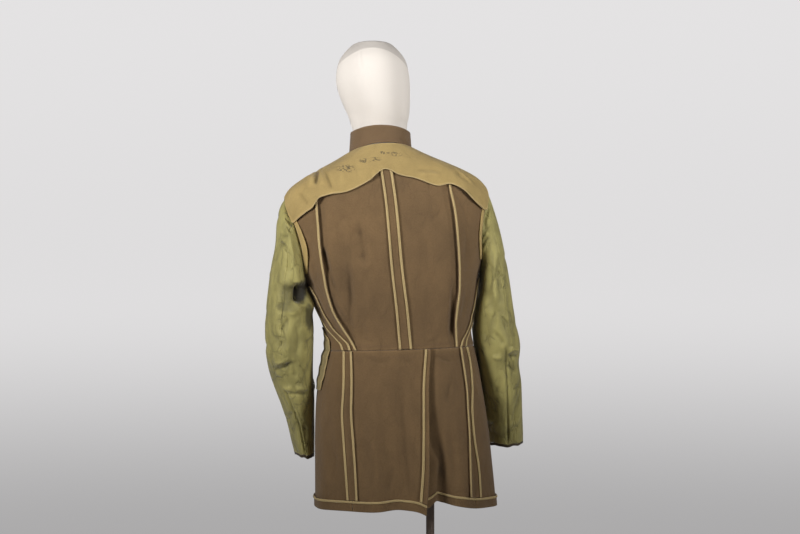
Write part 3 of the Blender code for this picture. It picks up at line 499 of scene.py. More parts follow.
# Creases, each along a path of places across (x) and up (z). Left and right are its widths to the two
# sides of the path, and face is -1 on the back of the garment and 1 on its front.
CREASE_FADE = 0.3
CREASE_STEPS = 4
FACING_SLOPE = 2.0
CREASE_COLUMNS = "face left right rise path"
BACK_CREASES = table(
    CREASE_COLUMNS,
    (-1, 0.015, 0.011, -0.0070, ((-0.154, 1.206), (-0.160, 1.256), (-0.168, 1.312))),
    (-1, 0.018, 0.009, -0.0085, ((-0.176, 1.046), (-0.184, 1.105), (-0.183, 1.150), (-0.195, 1.248))),
    (-1, 0.008, 0.006, -0.0050, ((-0.222, 1.186), (-0.232, 1.222), (-0.243, 1.258))),
    (-1, 0.004, 0.004, -0.0024, ((-0.194, 1.122), (-0.210, 1.158), (-0.226, 1.198))),
    (-1, 0.010, 0.014, -0.0020, ((-0.026, 1.192), (-0.024, 1.240), (-0.028, 1.284))),
    (-1, 0.008, 0.005, -0.0048, ((0.033, 1.046), (0.037, 1.110), (0.034, 1.196))),
    (-1, 0.010, 0.012, 0.0022, ((-0.140, 1.060), (-0.147, 1.130), (-0.134, 1.204))),
    (-1, 0.012, 0.010, 0.0020, ((-0.004, 1.054), (0.004, 1.110), (0.000, 1.180))),
    (-1, 0.007, 0.009, -0.0018, ((-0.216, 1.288), (-0.190, 1.322))),
    (-1, 0.008, 0.007, -0.0018, ((-0.022, 1.304), (0.012, 1.330))),
    (-1, 0.005, 0.004, -0.0014, ((-0.156, 1.062), (-0.128, 1.052))),
    (-1, 0.004, 0.005, -0.0014, ((-0.030, 1.050), (0.006, 1.060))),
)
SIDE_BACK_CREASES = table(
    CREASE_COLUMNS,
    (-1, 0.006, 0.005, -0.0018, ((-0.234, 1.104), (-0.254, 1.164))),
    (-1, 0.007, 0.006, -0.0016, ((-0.262, 1.215), (-0.264, 1.270))),
    (-1, 0.006, 0.008, -0.0018, ((0.058, 1.100), (0.067, 1.164))),
    (-1, 0.006, 0.007, -0.0014, ((0.060, 1.220), (0.066, 1.280))),
)
FRONT_CREASES = table(
    CREASE_COLUMNS,
    (1, 0.014, 0.010, -0.0044, ((-0.190, 1.056), (-0.200, 1.130), (-0.215, 1.206))),
    (1, 0.008, 0.014, -0.0038, ((0.020, 1.056), (0.036, 1.120), (0.052, 1.196))),
    (1, 0.010, 0.008, -0.0026, ((-0.242, 1.210), (-0.205, 1.262), (-0.178, 1.304))),
    (1, 0.008, 0.010, -0.0026, ((0.068, 1.216), (0.040, 1.270), (0.004, 1.304))),
    (1, 0.012, 0.012, 0.0024, ((-0.130, 1.076), (-0.138, 1.150), (-0.126, 1.236))),
    (1, 0.007, 0.006, -0.0020, ((-0.060, 1.330), (-0.030, 1.352))),
    (1, 0.006, 0.007, -0.0020, ((-0.190, 1.340), (-0.160, 1.362))),
)
LEFT_SKIRT_CREASES = table(
    CREASE_COLUMNS,
    (-1, 0.014, 0.012, -0.0060, ((-0.062, 0.708), (-0.070, 0.800), (-0.076, 0.900), (-0.081, 1.030))),
    (-1, 0.010, 0.014, -0.0042, ((-0.145, 0.752), (-0.160, 0.850), (-0.163, 0.944))),
    (-1, 0.009, 0.008, -0.0028, ((-0.109, 0.742), (-0.099, 0.776), (-0.090, 0.814))),
    (-1, 0.010, 0.012, -0.0030, ((-0.100, 0.786), (-0.110, 0.840), (-0.113, 0.896))),
    (-1, 0.012, 0.010, 0.0028, ((-0.126, 0.732), (-0.132, 0.820), (-0.134, 0.916))),
    (-1, 0.010, 0.010, 0.0024, ((-0.046, 0.726), (-0.046, 0.820), (-0.050, 0.936))),
    (-1, 0.012, 0.010, -0.0028, ((-0.206, 0.746), (-0.220, 0.830), (-0.226, 0.906))),
    (-1, 0.005, 0.006, -0.0022, ((-0.152, 1.024), (-0.120, 1.013), (-0.094, 1.019))),
    (-1, 0.006, 0.005, -0.0018, ((-0.072, 1.018), (-0.050, 1.010))),
    (1, 0.012, 0.010, -0.0040, ((-0.170, 0.735), (-0.176, 0.860), (-0.180, 0.966))),
    (1, 0.006, 0.010, -0.0028, ((-0.110, 0.730), (-0.104, 0.790), (-0.112, 0.856))),
    (1, 0.010, 0.008, 0.0026, ((-0.140, 0.730), (-0.146, 0.820), (-0.142, 0.900))),
)
RIGHT_SKIRT_CREASES = table(
    CREASE_COLUMNS,
    (-1, 0.006, 0.013, -0.0054, ((-0.002, 0.740), (0.005, 0.800), (-0.006, 0.834), (-0.022, 0.916))),
    (-1, 0.006, 0.004, -0.0024, ((-0.004, 1.027), (0.018, 1.016), (0.038, 1.010))),
    (-1, 0.010, 0.008, -0.0034, ((0.036, 0.745), (0.030, 0.820), (0.024, 0.896))),
    (-1, 0.008, 0.010, 0.0024, ((0.019, 0.730), (0.016, 0.800), (0.008, 0.880))),
    (-1, 0.006, 0.006, -0.0022, ((0.020, 0.925), (0.030, 0.975))),
    (1, 0.010, 0.012, -0.0040, ((0.040, 0.735), (0.048, 0.850), (0.050, 0.956))),
    (1, 0.010, 0.006, -0.0028, ((-0.010, 0.730), (-0.014, 0.800), (-0.006, 0.866))),
    (1, 0.008, 0.010, 0.0026, ((0.014, 0.730), (0.018, 0.810), (0.012, 0.890))),
)
YOKE_CREASES = table(
    CREASE_COLUMNS,
    (-1, 0.0022, 0.005, -0.0046, ((-0.252, 1.376), (-0.248, 1.398), (-0.243, 1.420))),
    (-1, 0.008, 0.005, 0.0034, ((-0.262, 1.366), (-0.257, 1.404))),
    (-1, 0.006, 0.008, 0.0026, ((-0.236, 1.372), (-0.236, 1.412))),
    (-1, 0.010, 0.0035, -0.0036, ((-0.216, 1.364), (-0.224, 1.388), (-0.236, 1.416))),
    (-1, 0.009, 0.010, -0.0018, ((-0.178, 1.368), (-0.176, 1.400), (-0.170, 1.432))),
    (-1, 0.008, 0.008, 0.0020, ((-0.198, 1.372), (-0.196, 1.418))),
    (-1, 0.006, 0.008, -0.0032, ((-0.287, 1.370), (-0.274, 1.352), (-0.262, 1.334))),
    (-1, 0.005, 0.006, -0.0020, ((-0.052, 1.410), (-0.020, 1.412), (0.014, 1.408))),
    (-1, 0.006, 0.005, 0.0020, ((-0.046, 1.400), (-0.016, 1.402), (0.010, 1.398))),
    (-1, 0.004, 0.006, -0.0030, ((0.036, 1.412), (0.056, 1.398), (0.075, 1.381))),
    (-1, 0.005, 0.004, 0.0024, ((0.048, 1.410), (0.066, 1.396), (0.084, 1.380))),
    (-1, 0.004, 0.006, -0.0030, ((0.054, 1.412), (0.074, 1.395), (0.094, 1.377))),
    (-1, 0.010, 0.008, 0.0020, ((-0.130, 1.388), (-0.139, 1.424))),
    (-1, 0.005, 0.006, -0.0022, ((0.090, 1.362), (0.102, 1.340))),
    (1, 0.006, 0.008, -0.0022, ((-0.238, 1.396), (-0.213, 1.404))),
    (1, 0.006, 0.008, -0.0022, ((0.022, 1.400), (0.048, 1.395))),
)
SLEEVE_CREASES = {
    -1: table(
        CREASE_COLUMNS,
        (-1, 0.0034, 0.003, -0.0042, ((-0.319, 1.319), (-0.307, 1.306), (-0.296, 1.290))),
        (-1, 0.003, 0.0034, -0.0038, ((-0.317, 1.296), (-0.307, 1.290), (-0.298, 1.278))),
        (-1, 0.0036, 0.003, -0.0040, ((-0.326, 1.264), (-0.316, 1.254), (-0.310, 1.238))),
        (-1, 0.004, 0.004, -0.0028, ((-0.329, 1.277), (-0.317, 1.274), (-0.305, 1.277))),
        (-1, 0.007, 0.006, -0.0038, ((-0.314, 1.194), (-0.309, 1.222), (-0.305, 1.250))),
        (-1, 0.007, 0.006, -0.0038, ((-0.286, 1.206), (-0.291, 1.236), (-0.298, 1.266))),
        (-1, 0.006, 0.006, 0.0030, ((-0.299, 1.202), (-0.300, 1.232), (-0.303, 1.260))),
        (-1, 0.012, 0.008, -0.0046, ((-0.335, 1.115), (-0.321, 1.140), (-0.323, 1.186))),
        (-1, 0.012, 0.013, -0.0220, ((-0.290, 1.130), (-0.286, 1.154), (-0.288, 1.180))),
        (-1, 0.009, 0.009, 0.0095, ((-0.269, 1.196), (-0.262, 1.164), (-0.260, 1.134), (-0.264, 1.102))),
        (-1, 0.012, 0.010, -0.0055, ((-0.308, 1.122), (-0.303, 1.148), (-0.307, 1.174))),
        (-1, 0.010, 0.008, 0.0052, ((-0.308, 1.106), (-0.294, 1.120), (-0.280, 1.122))),
        (-1, 0.007, 0.006, -0.0052, ((-0.273, 1.080), (-0.271, 1.106), (-0.276, 1.132))),
        (-1, 0.005, 0.006, -0.0038, ((-0.329, 1.072), (-0.318, 1.090), (-0.307, 1.108))),
        (-1, 0.010, 0.008, 0.0034, ((-0.311, 1.002), (-0.309, 1.050), (-0.304, 1.100))),
        (-1, 0.006, 0.007, -0.0034, ((-0.291, 1.016), (-0.288, 1.060), (-0.294, 1.098))),
        (-1, 0.006, 0.005, -0.0048, ((-0.342, 0.992), (-0.319, 0.999), (-0.296, 1.012))),
        (-1, 0.005, 0.005, 0.0032, ((-0.340, 1.007), (-0.320, 1.012), (-0.304, 1.024))),
        (-1, 0.005, 0.007, -0.0036, ((-0.292, 0.974), (-0.300, 1.018))),
        (-1, 0.005, 0.005, 0.0036, ((-0.320, 0.953), (-0.296, 0.955))),
        (-1, 0.005, 0.005, 0.0038, ((-0.295, 0.956), (-0.262, 0.952))),
        (-1, 0.004, 0.004, -0.0032, ((-0.318, 0.944), (-0.290, 0.942), (-0.260, 0.940))),
        (-1, 0.004, 0.004, -0.0028, ((-0.308, 0.876), (-0.297, 0.904))),
        (-1, 0.008, 0.007, -0.0032, ((-0.267, 0.886), (-0.277, 0.960))),
        (-1, 0.006, 0.006, -0.0028, ((-0.264, 0.824), (-0.272, 0.884))),
        (-1, 0.004, 0.005, -0.0026, ((-0.330, 1.040), (-0.318, 1.058))),
        (-1, 0.005, 0.004, -0.0026, ((-0.272, 1.030), (-0.262, 1.060))),
    ),
    1: table(
        CREASE_COLUMNS,
        (-1, 0.005, 0.004, -0.0032, ((0.110, 1.308), (0.119, 1.343))),
        (-1, 0.004, 0.005, -0.0028, ((0.109, 1.290), (0.105, 1.322))),
        (-1, 0.005, 0.004, -0.0034, ((0.093, 1.246), (0.103, 1.278), (0.126, 1.304))),
        (-1, 0.004, 0.004, -0.0038, ((0.093, 1.241), (0.107, 1.263), (0.119, 1.279))),
        (-1, 0.007, 0.006, -0.0042, ((0.114, 1.132), (0.113, 1.164), (0.117, 1.200), (0.106, 1.250))),
        (-1, 0.006, 0.007, -0.0040, ((0.149, 1.102), (0.137, 1.175), (0.139, 1.210), (0.143, 1.252))),
        (-1, 0.006, 0.006, 0.0034, ((0.130, 1.120), (0.126, 1.170), (0.127, 1.230))),
        (-1, 0.005, 0.004, -0.0030, ((0.121, 1.178), (0.142, 1.206))),
        (-1, 0.004, 0.005, -0.0028, ((0.152, 1.200), (0.160, 1.240))),
        (-1, 0.005, 0.006, -0.0048, ((0.157, 1.017), (0.174, 1.020), (0.192, 1.018))),
        (-1, 0.005, 0.005, 0.0034, ((0.156, 1.031), (0.172, 1.034), (0.190, 1.032))),
        (-1, 0.005, 0.005, 0.0032, ((0.124, 1.018), (0.149, 1.016))),
        (-1, 0.005, 0.004, -0.0034, ((0.157, 1.003), (0.185, 0.984))),
        (-1, 0.005, 0.006, -0.0034, ((0.126, 1.075), (0.151, 1.042))),
        (-1, 0.006, 0.005, 0.0036, ((0.115, 0.896), (0.128, 0.884), (0.143, 0.866))),
        (-1, 0.005, 0.006, -0.0030, ((0.116, 0.884), (0.136, 0.860))),
        (-1, 0.006, 0.008, -0.0034, ((0.177, 1.056), (0.167, 1.106))),
        (-1, 0.006, 0.006, -0.0030, ((0.182, 0.860), (0.187, 0.940))),
        (-1, 0.006, 0.005, -0.0030, ((0.136, 0.930), (0.146, 0.985))),
        (-1, 0.005, 0.006, -0.0028, ((0.164, 1.110), (0.160, 1.160))),
        (-1, 0.007, 0.006, -0.0044, ((0.112, 1.050), (0.109, 1.085), (0.113, 1.118))),
        (-1, 0.005, 0.004, -0.0026, ((0.170, 0.945), (0.196, 0.955))),
    ),
}
COLLAR_CREASES = table(
    CREASE_COLUMNS,
    (-1, 0.003, 0.004, -0.0012, ((-0.054, 1.460), (-0.064, 1.474), (-0.073, 1.488))),
    (-1, 0.006, 0.005, -0.0012, ((-0.168, 1.464), (-0.157, 1.488))),
    (-1, 0.008, 0.010, -0.0008, ((-0.120, 1.474), (-0.116, 1.500))),
)
HEAD_SEAMS = table(
    CREASE_COLUMNS,
    (-1, 0.0016, 0.0016, -0.0010, ((-0.155, 1.618), (-0.158, 1.650), (-0.152, 1.684))),
    (-1, 0.0020, 0.0016, 0.0008, ((-0.186, 1.648), (-0.158, 1.667), (-0.132, 1.671), (-0.095, 1.665))),
)

# Creases that go round the outside, front and inside of the sleeves, along places of turn and row
SLEEVE_FOLDS = {
    -1: table(
        "left right rise path",
        (0.006, 0.006, -0.0038, ((160.0, 1.2), (205.0, 2.0), (250.0, 2.4))),
        (0.007, 0.006, -0.0042, ((188.0, 3.2), (230.0, 3.8), (285.0, 3.6))),
        (0.006, 0.008, 0.0032, ((180.0, 4.6), (225.0, 4.4), (272.0, 4.9))),
        (0.006, 0.006, -0.0038, ((166.0, 5.6), (215.0, 6.2), (264.0, 6.0))),
        (0.006, 0.005, -0.0042, ((196.0, 7.6), (250.0, 7.9), (312.0, 7.7))),
        (0.006, 0.006, 0.0032, ((200.0, 8.3), (255.0, 8.5), (306.0, 8.2))),
        (0.006, 0.006, -0.0034, ((176.0, 9.0), (215.0, 9.8), (242.0, 10.4))),
        (0.005, 0.006, -0.0034, ((262.0, 9.4), (300.0, 10.2), (332.0, 10.9))),
        (0.007, 0.006, -0.0036, ((288.0, 2.2), (325.0, 3.0), (352.0, 4.0))),
        (0.006, 0.006, -0.0032, ((296.0, 5.2), (335.0, 6.0), (372.0, 6.4))),
        (0.006, 0.006, 0.0028, ((340.0, 8.2), (372.0, 8.8))),
        (0.005, 0.006, -0.0028, ((150.0, 6.8), (178.0, 7.0), (202.0, 6.7))),
    ),
    1: table(
        "left right rise path",
        (0.006, 0.006, -0.0036, ((164.0, 1.6), (212.0, 1.3), (256.0, 1.9))),
        (0.007, 0.006, -0.0040, ((182.0, 2.7), (226.0, 3.3), (276.0, 3.2))),
        (0.006, 0.008, 0.0032, ((176.0, 4.2), (220.0, 4.1), (268.0, 4.5))),
        (0.006, 0.006, -0.0038, ((170.0, 5.4), (210.0, 5.7), (262.0, 5.5))),
        (0.006, 0.005, -0.0042, ((198.0, 7.2), (252.0, 7.5), (310.0, 7.4))),
        (0.006, 0.006, 0.0032, ((204.0, 8.0), (258.0, 8.2), (304.0, 7.9))),
        (0.006, 0.006, -0.0034, ((172.0, 9.3), (210.0, 9.9), (236.0, 10.6))),
        (0.005, 0.006, -0.0034, ((258.0, 9.0), (296.0, 9.9), (326.0, 10.6))),
        (0.007, 0.006, -0.0036, ((286.0, 2.0), (320.0, 2.9), (350.0, 3.7))),
        (0.006, 0.006, -0.0032, ((298.0, 5.0), (338.0, 5.7), (376.0, 6.1))),
        (0.006, 0.006, 0.0028, ((338.0, 8.6), (370.0, 9.2))),
        (0.005, 0.006, -0.0028, ((152.0, 6.4), (180.0, 6.6), (206.0, 6.2))),
    ),
}

# The open hind-arm seam from the elbow to each cuff, as turns by row
SLEEVE_SLIT = {
    -1: table("row turn", (8.35, 128.0), (9.2, 118.0), (10.2, 104.0), (11.2, 96.0), (11.78, 92.0)),
    1: table("row turn", (7.1, 99.0), (8.0, 96.0), (9.2, 93.0), (10.6, 86.0), (11.78, 82.0)),
}
SLIT_WIDTH = 0.0024
SLIT_DEPTH = 0.0040
SLIT_START_FADE = 0.4
SLIT_END_FADE = 0.35

# Waves of the cuff's edge: how many go round, and how far they move it up
CUFF_WAVES = table("count start rise", (3, 20.0, 0.0012), (7, 110.0, 0.0009), (11, 65.0, 0.0006))
CUFF_WAVE_ROW = 11.2

SIDES = ((-1, "left"), (1, "right"))


def curve_between(t, first, first_slope, last, last_slope):
    """The smooth way from a first value to a last one, with a slope at each."""
    return (
        (2 * t**3 - 3 * t**2 + 1) * first
        + (t**3 - 2 * t**2 + t) * first_slope
        + (3 * t**2 - 2 * t**3) * last
        + (t**3 - t**2) * last_slope
    )


def smooth_curve(rows):
    """Return a function through a table's rows: places in its first column in, rows of arrays out."""
    kind = type(rows[0])
    data = np.array(rows, float)
    place, values = data[:, 0], data[:, 1:]
    slopes = np.gradient(values, place, axis=0)

    def row_at(where):
        where = np.clip(np.asarray(where, float), place[0], place[-1])
        row = np.clip(np.searchsorted(place, where) - 1, 0, len(place) - 2)
        span = (place[row + 1] - place[row])[..., None]
        t = (where - place[row])[..., None] / span
        found = curve_between(t, values[row], span * slopes[row], values[row + 1], span * slopes[row + 1])
        return kind(where, *np.moveaxis(found, -1, 0))

    return row_at


def smooth_path(points, count):
    """A list of points made into a smooth line of more points."""
    kind = collections.namedtuple("Step", "step " + " ".join("xyz"[: len(points[0])]))
    line = smooth_curve([kind(step, *point) for step, point in enumerate(points)])
    return np.stack(line(np.linspace(0, len(points) - 1, count))[1:], -1)


def ease(t):
    """Smooth step from 0 to 1."""
    t = np.clip(t, 0.0, 1.0)
    return t * t * (3 - 2 * t)


def squarer(value):
    """A sine or cosine of a cross section, pushed out towards a square's."""
    return np.sign(value) * np.abs(value) ** (2 / SQUARENESS)


def turned(angle):
    """Sine and cosine of an angle in degrees."""
    return np.sin(np.radians(angle)), np.cos(np.radians(angle))


def points_of(x, y, z):
    """Points from their three coordinates."""
    return np.stack(np.broadcast_arrays(x, y, z), -1)


def length(vectors):
    """Lengths of vectors."""
    return np.linalg.norm(vectors, axis=-1)


def unit(vectors):
    """Vectors with their lengths made 1."""
    return vectors / length(vectors)[..., None]


section_at = smooth_curve(SECTIONS)
centre_seam_at = smooth_curve(CENTRE_SEAM)
side_upper_at = smooth_curve(SIDE_UPPER)
side_skirt_at = smooth_curve(SIDE_SKIRT)
pleat_at = smooth_curve(PLEAT_EDGES)
vent_at = smooth_curve(VENT_EDGE)
hem_left_at = smooth_curve(HEM_LEFT)
hem_right_at = smooth_curve(HEM_RIGHT)
yoke_edge_at = smooth_curve(YOKE_EDGE)
yoke_flare_at = smooth_curve(YOKE_FLARE)
pocket_rear_at = smooth_curve(POCKET_REAR)


def body_point(angle, height):
    """Points of the plain body surface, before folds."""
    section = section_at(height)
    sine, cosine = turned(angle)
    behind = cosine > 0
    across = section.half_width * squarer(sine)
    depth = np.where(behind, section.back, section.front)
    lift = np.where(behind, section.back_lift, section.front_lift)
    along = -depth * squarer(cosine)
    rise = lift * cosine * cosine + across * np.tan(np.radians(section.tilt))
    return points_of(section.centre_x + across, along, section.height + rise)


class Surface:
    """A smooth sheet: where it is at an angle and a row, and the way it faces there."""

    def __init__(self, place, first_row, last_row, hand=1.0):
        self.place = place
        self.first_row = first_row
        self.last_row = last_row
        self.hand = hand

    def normal(self, angle, row):
        """The way that the sheet faces, outwards."""
        low = np.maximum(row - ROW_STEP, self.first_row)
        high = np.minimum(row + ROW_STEP, self.last_row)
        around = self.place(angle + ANGLE_STEP, row) - self.place(angle - ANGLE_STEP, row)
        along = self.place(angle, high) - self.place(angle, low)
        return unit(np.cross(around, along)) * self.hand


body = Surface(body_point, SECTIONS[0].height, NECK)


def slide(angle, height, distance):
    """The angle that lies a distance further round the body."""
    angle, height, distance = np.broadcast_arrays(angle, height, distance)
    step = np.full(angle.shape, SLIDE_GUESS)
    for _ in range(SLIDE_ROUNDS):
        pace = length(body_point(angle + step, height) - body_point(angle, height)) / step
        step = np.maximum(SLIDE_LEAST, np.abs(distance) / pace)
    return angle + np.copysign(step, distance)


def angle_of(across, height):
    """The angle at which the back surface lies a distance from the centre line."""
    share = np.minimum(np.abs(across) / section_at(height).half_width, 1.0)
    return np.copysign(np.degrees(np.arcsin(share ** (SQUARENESS / 2))), across)


def fold_rise(folds, angle, row):
    """How far the soft folds move the cloth out."""
    total = 0.0
    for fold in folds:
        t = (fold.top - row) / (fold.top - fold.low)
        along = np.clip(t, 0.0, 1.0)
        centre = fold.top_angle + (fold.low_angle - fold.top_angle) * along
        rise = fold.top_rise + (fold.low_rise - fold.top_rise) * along**FOLD_GROWTH
        fade = ease(1 + t / FOLD_FADE) * ease(1 + (1 - t) / FOLD_FADE)
        total = total + rise * fade * np.exp(-(((angle - centre) / fold.spread) ** 2))
    return total


def waist_tuck(height):
    """How far the tuck along the waist seam moves the cloth out, which is less than nothing."""
    return -WAIST_TUCK * np.exp(-(((height - WAIST) / WAIST_TUCK_WIDTH) ** 2))


def folded(folds, angle, row, height):
    """Points of the body's cloth with its soft folds and the tuck at the waist."""
    rise = fold_rise(folds, angle, row) + waist_tuck(height)
    return body_point(angle, height) + body.normal(angle, height) * rise[..., None]


def upper_place(angle, height):
    """Points of the cloth above the waist."""
    return folded(UPPER_FOLDS, angle, height, height)


def skirt_surface(hem_at, folds):
    """The cloth of one half of the skirt."""

    def place(angle, row):
        hem = hem_at(angle).height
        height = hem + row * (WAIST - WAIST_GAP - hem)
        return folded(folds, angle, row, height)

    return Surface(place, 0.0, 1.0)


upper = Surface(upper_place, SECTIONS[0].height, NECK)
left_skirt = skirt_surface(hem_left_at, LEFT_SKIRT_FOLDS)
right_skirt = skirt_surface(hem_right_at, RIGHT_SKIRT_FOLDS)
# Each half of the skirt with its creases
SKIRTS = {-1: (left_skirt, LEFT_SKIRT_CREASES), 1: (right_skirt, RIGHT_SKIRT_CREASES)}


def skirt_height(row):
    """Height of a row of the skirt, over a level hem."""
    return HEM + row * (WAIST - HEM)


def armhole_edge(side, turn):
    """Angle and height on an armhole: turn 0 is the underarm, 90 the back, 180 the top."""
    hole = ARMHOLES[side]
    sine, cosine = turned(turn)
    height = UNDERARM + (SHOULDER_TIP - UNDERARM) / 2 * (1 - cosine)
    centre = hole.underarm_angle + (90.0 - hole.underarm_angle) * (1 - cosine) / 2
    reach = np.where(sine > 0, hole.back_spread, hole.front_spread)
    reach = reach * (1 - ARMHOLE_LEAN * np.maximum(cosine, 0.0) ** 2)
    return side * (centre - reach * sine), height


def sleeve_surface(side):
    """A sleeve, from the armhole through its rings to the cuff."""

    def smooth(turn, row):
        turn, row = np.broadcast_arrays(turn, row)
        sine, cosine = turned(turn)
        path = [body_point(*armhole_edge(side, turn))]
        for ring in SLEEVES[side]:
            middle_x, middle_z = (ring.outer_x + ring.inner_x) / 2, (ring.outer_z + ring.inner_z) / 2
            x = middle_x + (ring.inner_x - middle_x) * cosine
            z = middle_z + (ring.inner_z - middle_z) * cosine
            path.append(points_of(x, ring.centre_y - ring.half_depth * sine, z))
        path = np.stack(path)
        slopes = np.gradient(path, axis=0)
        first = np.clip(row.astype(int), 0, len(path) - 2)
        t = (row - first)[..., None]
        place = first[None, ..., None]

        def pick(values, step):
            return np.take_along_axis(values, place + step, axis=0)[0]

        return curve_between(t, pick(path, 0), pick(slopes, 0), pick(path, 1), pick(slopes, 1))

    plain = Surface(smooth, 0.0, len(SLEEVES[side]), -side)

    def place(turn, row):
        turn, row = np.broadcast_arrays(turn, row)
        rise = np.zeros(turn.shape)
        for bend in ELBOW_BENDS:
            inside = np.minimum(turn % 360.0 - bend.first_turn, bend.last_turn - turn % 360.0)
            across = np.exp(-(((row - bend.row) / bend.spread) ** 2))
            rise += bend.rise * ease(inside / BEND_FADE) * across
        for fold in SLEEVE_FOLDS[side]:
            start = fold.path[0][0]
            round_arm = (turn - start + BEND_FADE) % 360.0 + start - BEND_FADE
            rise += path_rise(fold, round_arm * GIRTH_STEP, row * ROW_LENGTH, (GIRTH_STEP, ROW_LENGTH))
        points = smooth(turn, row) + plain.normal(turn, row) * rise[..., None]
        up = sum(wave.rise * turned(wave.count * turn + wave.start)[0] for wave in CUFF_WAVES)
        lift = up * ease((row - CUFF_WAVE_ROW) / (CUFF_LAST - CUFF_WAVE_ROW))
        return points + lift[..., None] * UP

    return Surface(place, 0.0, len(SLEEVES[side]), -side)


def near_path(path, x, z):
    """Distance to a bent line, the side of it, and the share of the way along it, for each place."""
    best = np.full(x.shape, np.inf)
    side = np.ones(x.shape)
    along = np.zeros(x.shape)
    for step, ((x0, z0), (x1, z1)) in enumerate(zip(path, path[1:])):
        dx, dz = x1 - x0, z1 - z0
        t = np.clip(((x - x0) * dx + (z - z0) * dz) / (dx * dx + dz * dz), 0.0, 1.0)
        away = np.hypot(x - x0 - t * dx, z - z0 - t * dz)
        closer = away < best
        side = np.where(closer, dx * (z - z0) - dz * (x - x0), side)
        along = np.where(closer, (step + t) / (len(path) - 1), along)
        best = np.where(closer, away, best)
    return best, side, along


def path_rise(crease, x, z, scale=(1.0, 1.0)):
    """How far one crease moves the cloth out: most along its path, fading to its sides and ends."""
    path = smooth_path(crease.path, CREASE_STEPS * len(crease.path)) * np.array(scale)
    away, side, along = near_path(path, x, z)
    width = np.where(side > 0, crease.left, crease.right)
    fade = ease(along / CREASE_FADE) * ease((1 - along) / CREASE_FADE)
    return crease.rise * fade * np.exp(-((away / width) ** 2))


def crease_rise(creases, points, normals):
    """How far a list of creases moves the cloth out."""
    total = np.zeros(points.shape[:-1])
    for crease in creases:
        facing = ease(0.5 + FACING_SLOPE * crease.face * normals[..., 1])
        total += facing * path_rise(crease, points[..., 0], points[..., 2])
    return total


def laid(surface, creases=(), out=0.0):
    """Cloth on a surface, with its creases pressed in and moved out by a distance or a function."""

    def place(angle, row):
        angle, row = np.broadcast_arrays(angle, row)
        points = surface.place(angle, row)
        normals = surface.normal(angle, row)
        rise = out(angle, row) if callable(out) else np.asarray(out)
        rise = rise + crease_rise(creases, points, normals)
        return points + normals * rise[..., None]

    return place


def raised(lift, distance):
    """A lift, which is a number or a function of angle and row, with a distance added."""
    if callable(lift):
        return lambda angle, row: lift(angle, row) + distance
    return lift + distance


def layer(base, thickness):
    """Distance out of the outer face of something that lies on a face at base."""
    return base + LAYER_GAP + thickness


def spread(first, last, distance, cell):
    """Evenly spaced places from first to last, about a cell apart over a distance."""
    return np.linspace(first, last, max(2, round(distance / cell) + 1))


def upper_rows(cell, top=NECK):
    """Heights from the waist to the top, closest where the armhole's edge runs level."""
    chest = spread(WAIST, UNDERARM, UNDERARM - WAIST, cell)
    turns = spread(0.0, 180.0, SHOULDER_TIP - UNDERARM, cell)
    shoulder = spread(SHOULDER_TIP, top, top - SHOULDER_TIP, cell)
    return np.concatenate([chest[:-1], armhole_edge(1, turns)[1], shoulder[1:]])


def skirt_rows(cell, first=0.0, last=1.0):
    """Rows of the skirt, about a cell apart."""
    return spread(first, last, (last - first) * (WAIST - HEM), cell)


def left_to_right(side, *stations):
    """Stations given outwards from the centre back, in the order that every row runs."""
    return stations if side > 0 else stations[::-1]


def angles_across(stations, *cells):
    """Angles across each row, in a number of equal cells from each station to the next."""
    parts = []
    for first, last, count in zip(stations, stations[1:], cells):
        parts.append(first[:, None] + (last - first)[:, None] * np.arange(count) / count)
    return np.concatenate(parts + [stations[-1][:, None]], axis=1)


def outer_edge(side, height, half):
    """Where a body piece ends at the side: side seam, then armhole, then shoulder seam."""
    seam = side_upper_at(height)
    cosine = 1 - 2 * (height - UNDERARM) / (SHOULDER_TIP - UNDERARM)
    turn = np.degrees(np.arccos(np.clip(cosine, -1.0, 1.0)))
    armhole = armhole_edge(side, turn if half == "back" else -turn)[0]
    below = seam.left if side < 0 else seam.right
    above = np.full(height.shape, side * 90.0)
    return np.where(height < UNDERARM, below, np.where(height > SHOULDER_TIP, above, armhole))


def centre_angle(height):
    """Angle of the centre-back seam."""
    return angle_of(centre_seam_at(height).across, height)


def pleat_angle(side, height):
    """Angle of a side back's free edge."""
    edges = pleat_at(height)
    return angle_of(edges.left if side < 0 else edges.right, height)


def pleat_lift(height):
    """The free edge of a side back stands off the back, but not at the waist or under the yoke."""
    under_yoke = ease((height - PLEAT_LIFT_TOP) / PLEAT_LIFT_FADE)
    return PLEAT_LIFT * (1 - under_yoke) * ease((height - WAIST) / PLEAT_LIFT_FADE)


# Noises of the finishes: lumps to a metre, detail, and how rough the detail is where it isn't plain
PATCH_NOISE = (9.0, 4.0)
FLECK_NOISE = (420.0, 2.0)
EDGE_NOISE = (160.0, 3.0)
FUZZ_NOISE = (900.0, 2.0)
LUMP_NOISE = (55.0, 3.0)
WANDER_NOISE = (30.0, 3.0, 0.5)
BREAK_NOISE = (21.0, 2.0)
SMUDGE_NOISE = (230.0, 3.0, 0.6)
PAINTED_SHADE_NOISE = (90.0, 3.0)
RUB_NOISE = (38.0, 5.0)
PAINT_NOISE = (700.0, 2.0)
FIBRE_NOISE = (2400.0, 1.0)
FLOOR_NOISE = (3.0, 3.0)

# The warp lies over the weft in just under half of a weave's repeat
OVER_SHARE = 0.499

# Crumpled cloth: layers of facets, how far they wander and stretch, and the broken cracks between them
CRUMPLES = table("turn scale share", (0.35, 21.0, 0.62), (-0.6, 44.0, 0.38))
CRUMPLE_WANDER = (0.022, 0.022, 0.022)
CRUMPLE_STRETCH = (1.0, 1.0, 0.5)
FACET_REACH = 0.34
CRACK_SPAN = (0.012, 0.055)
BREAK_SPAN = (0.47, 0.60)
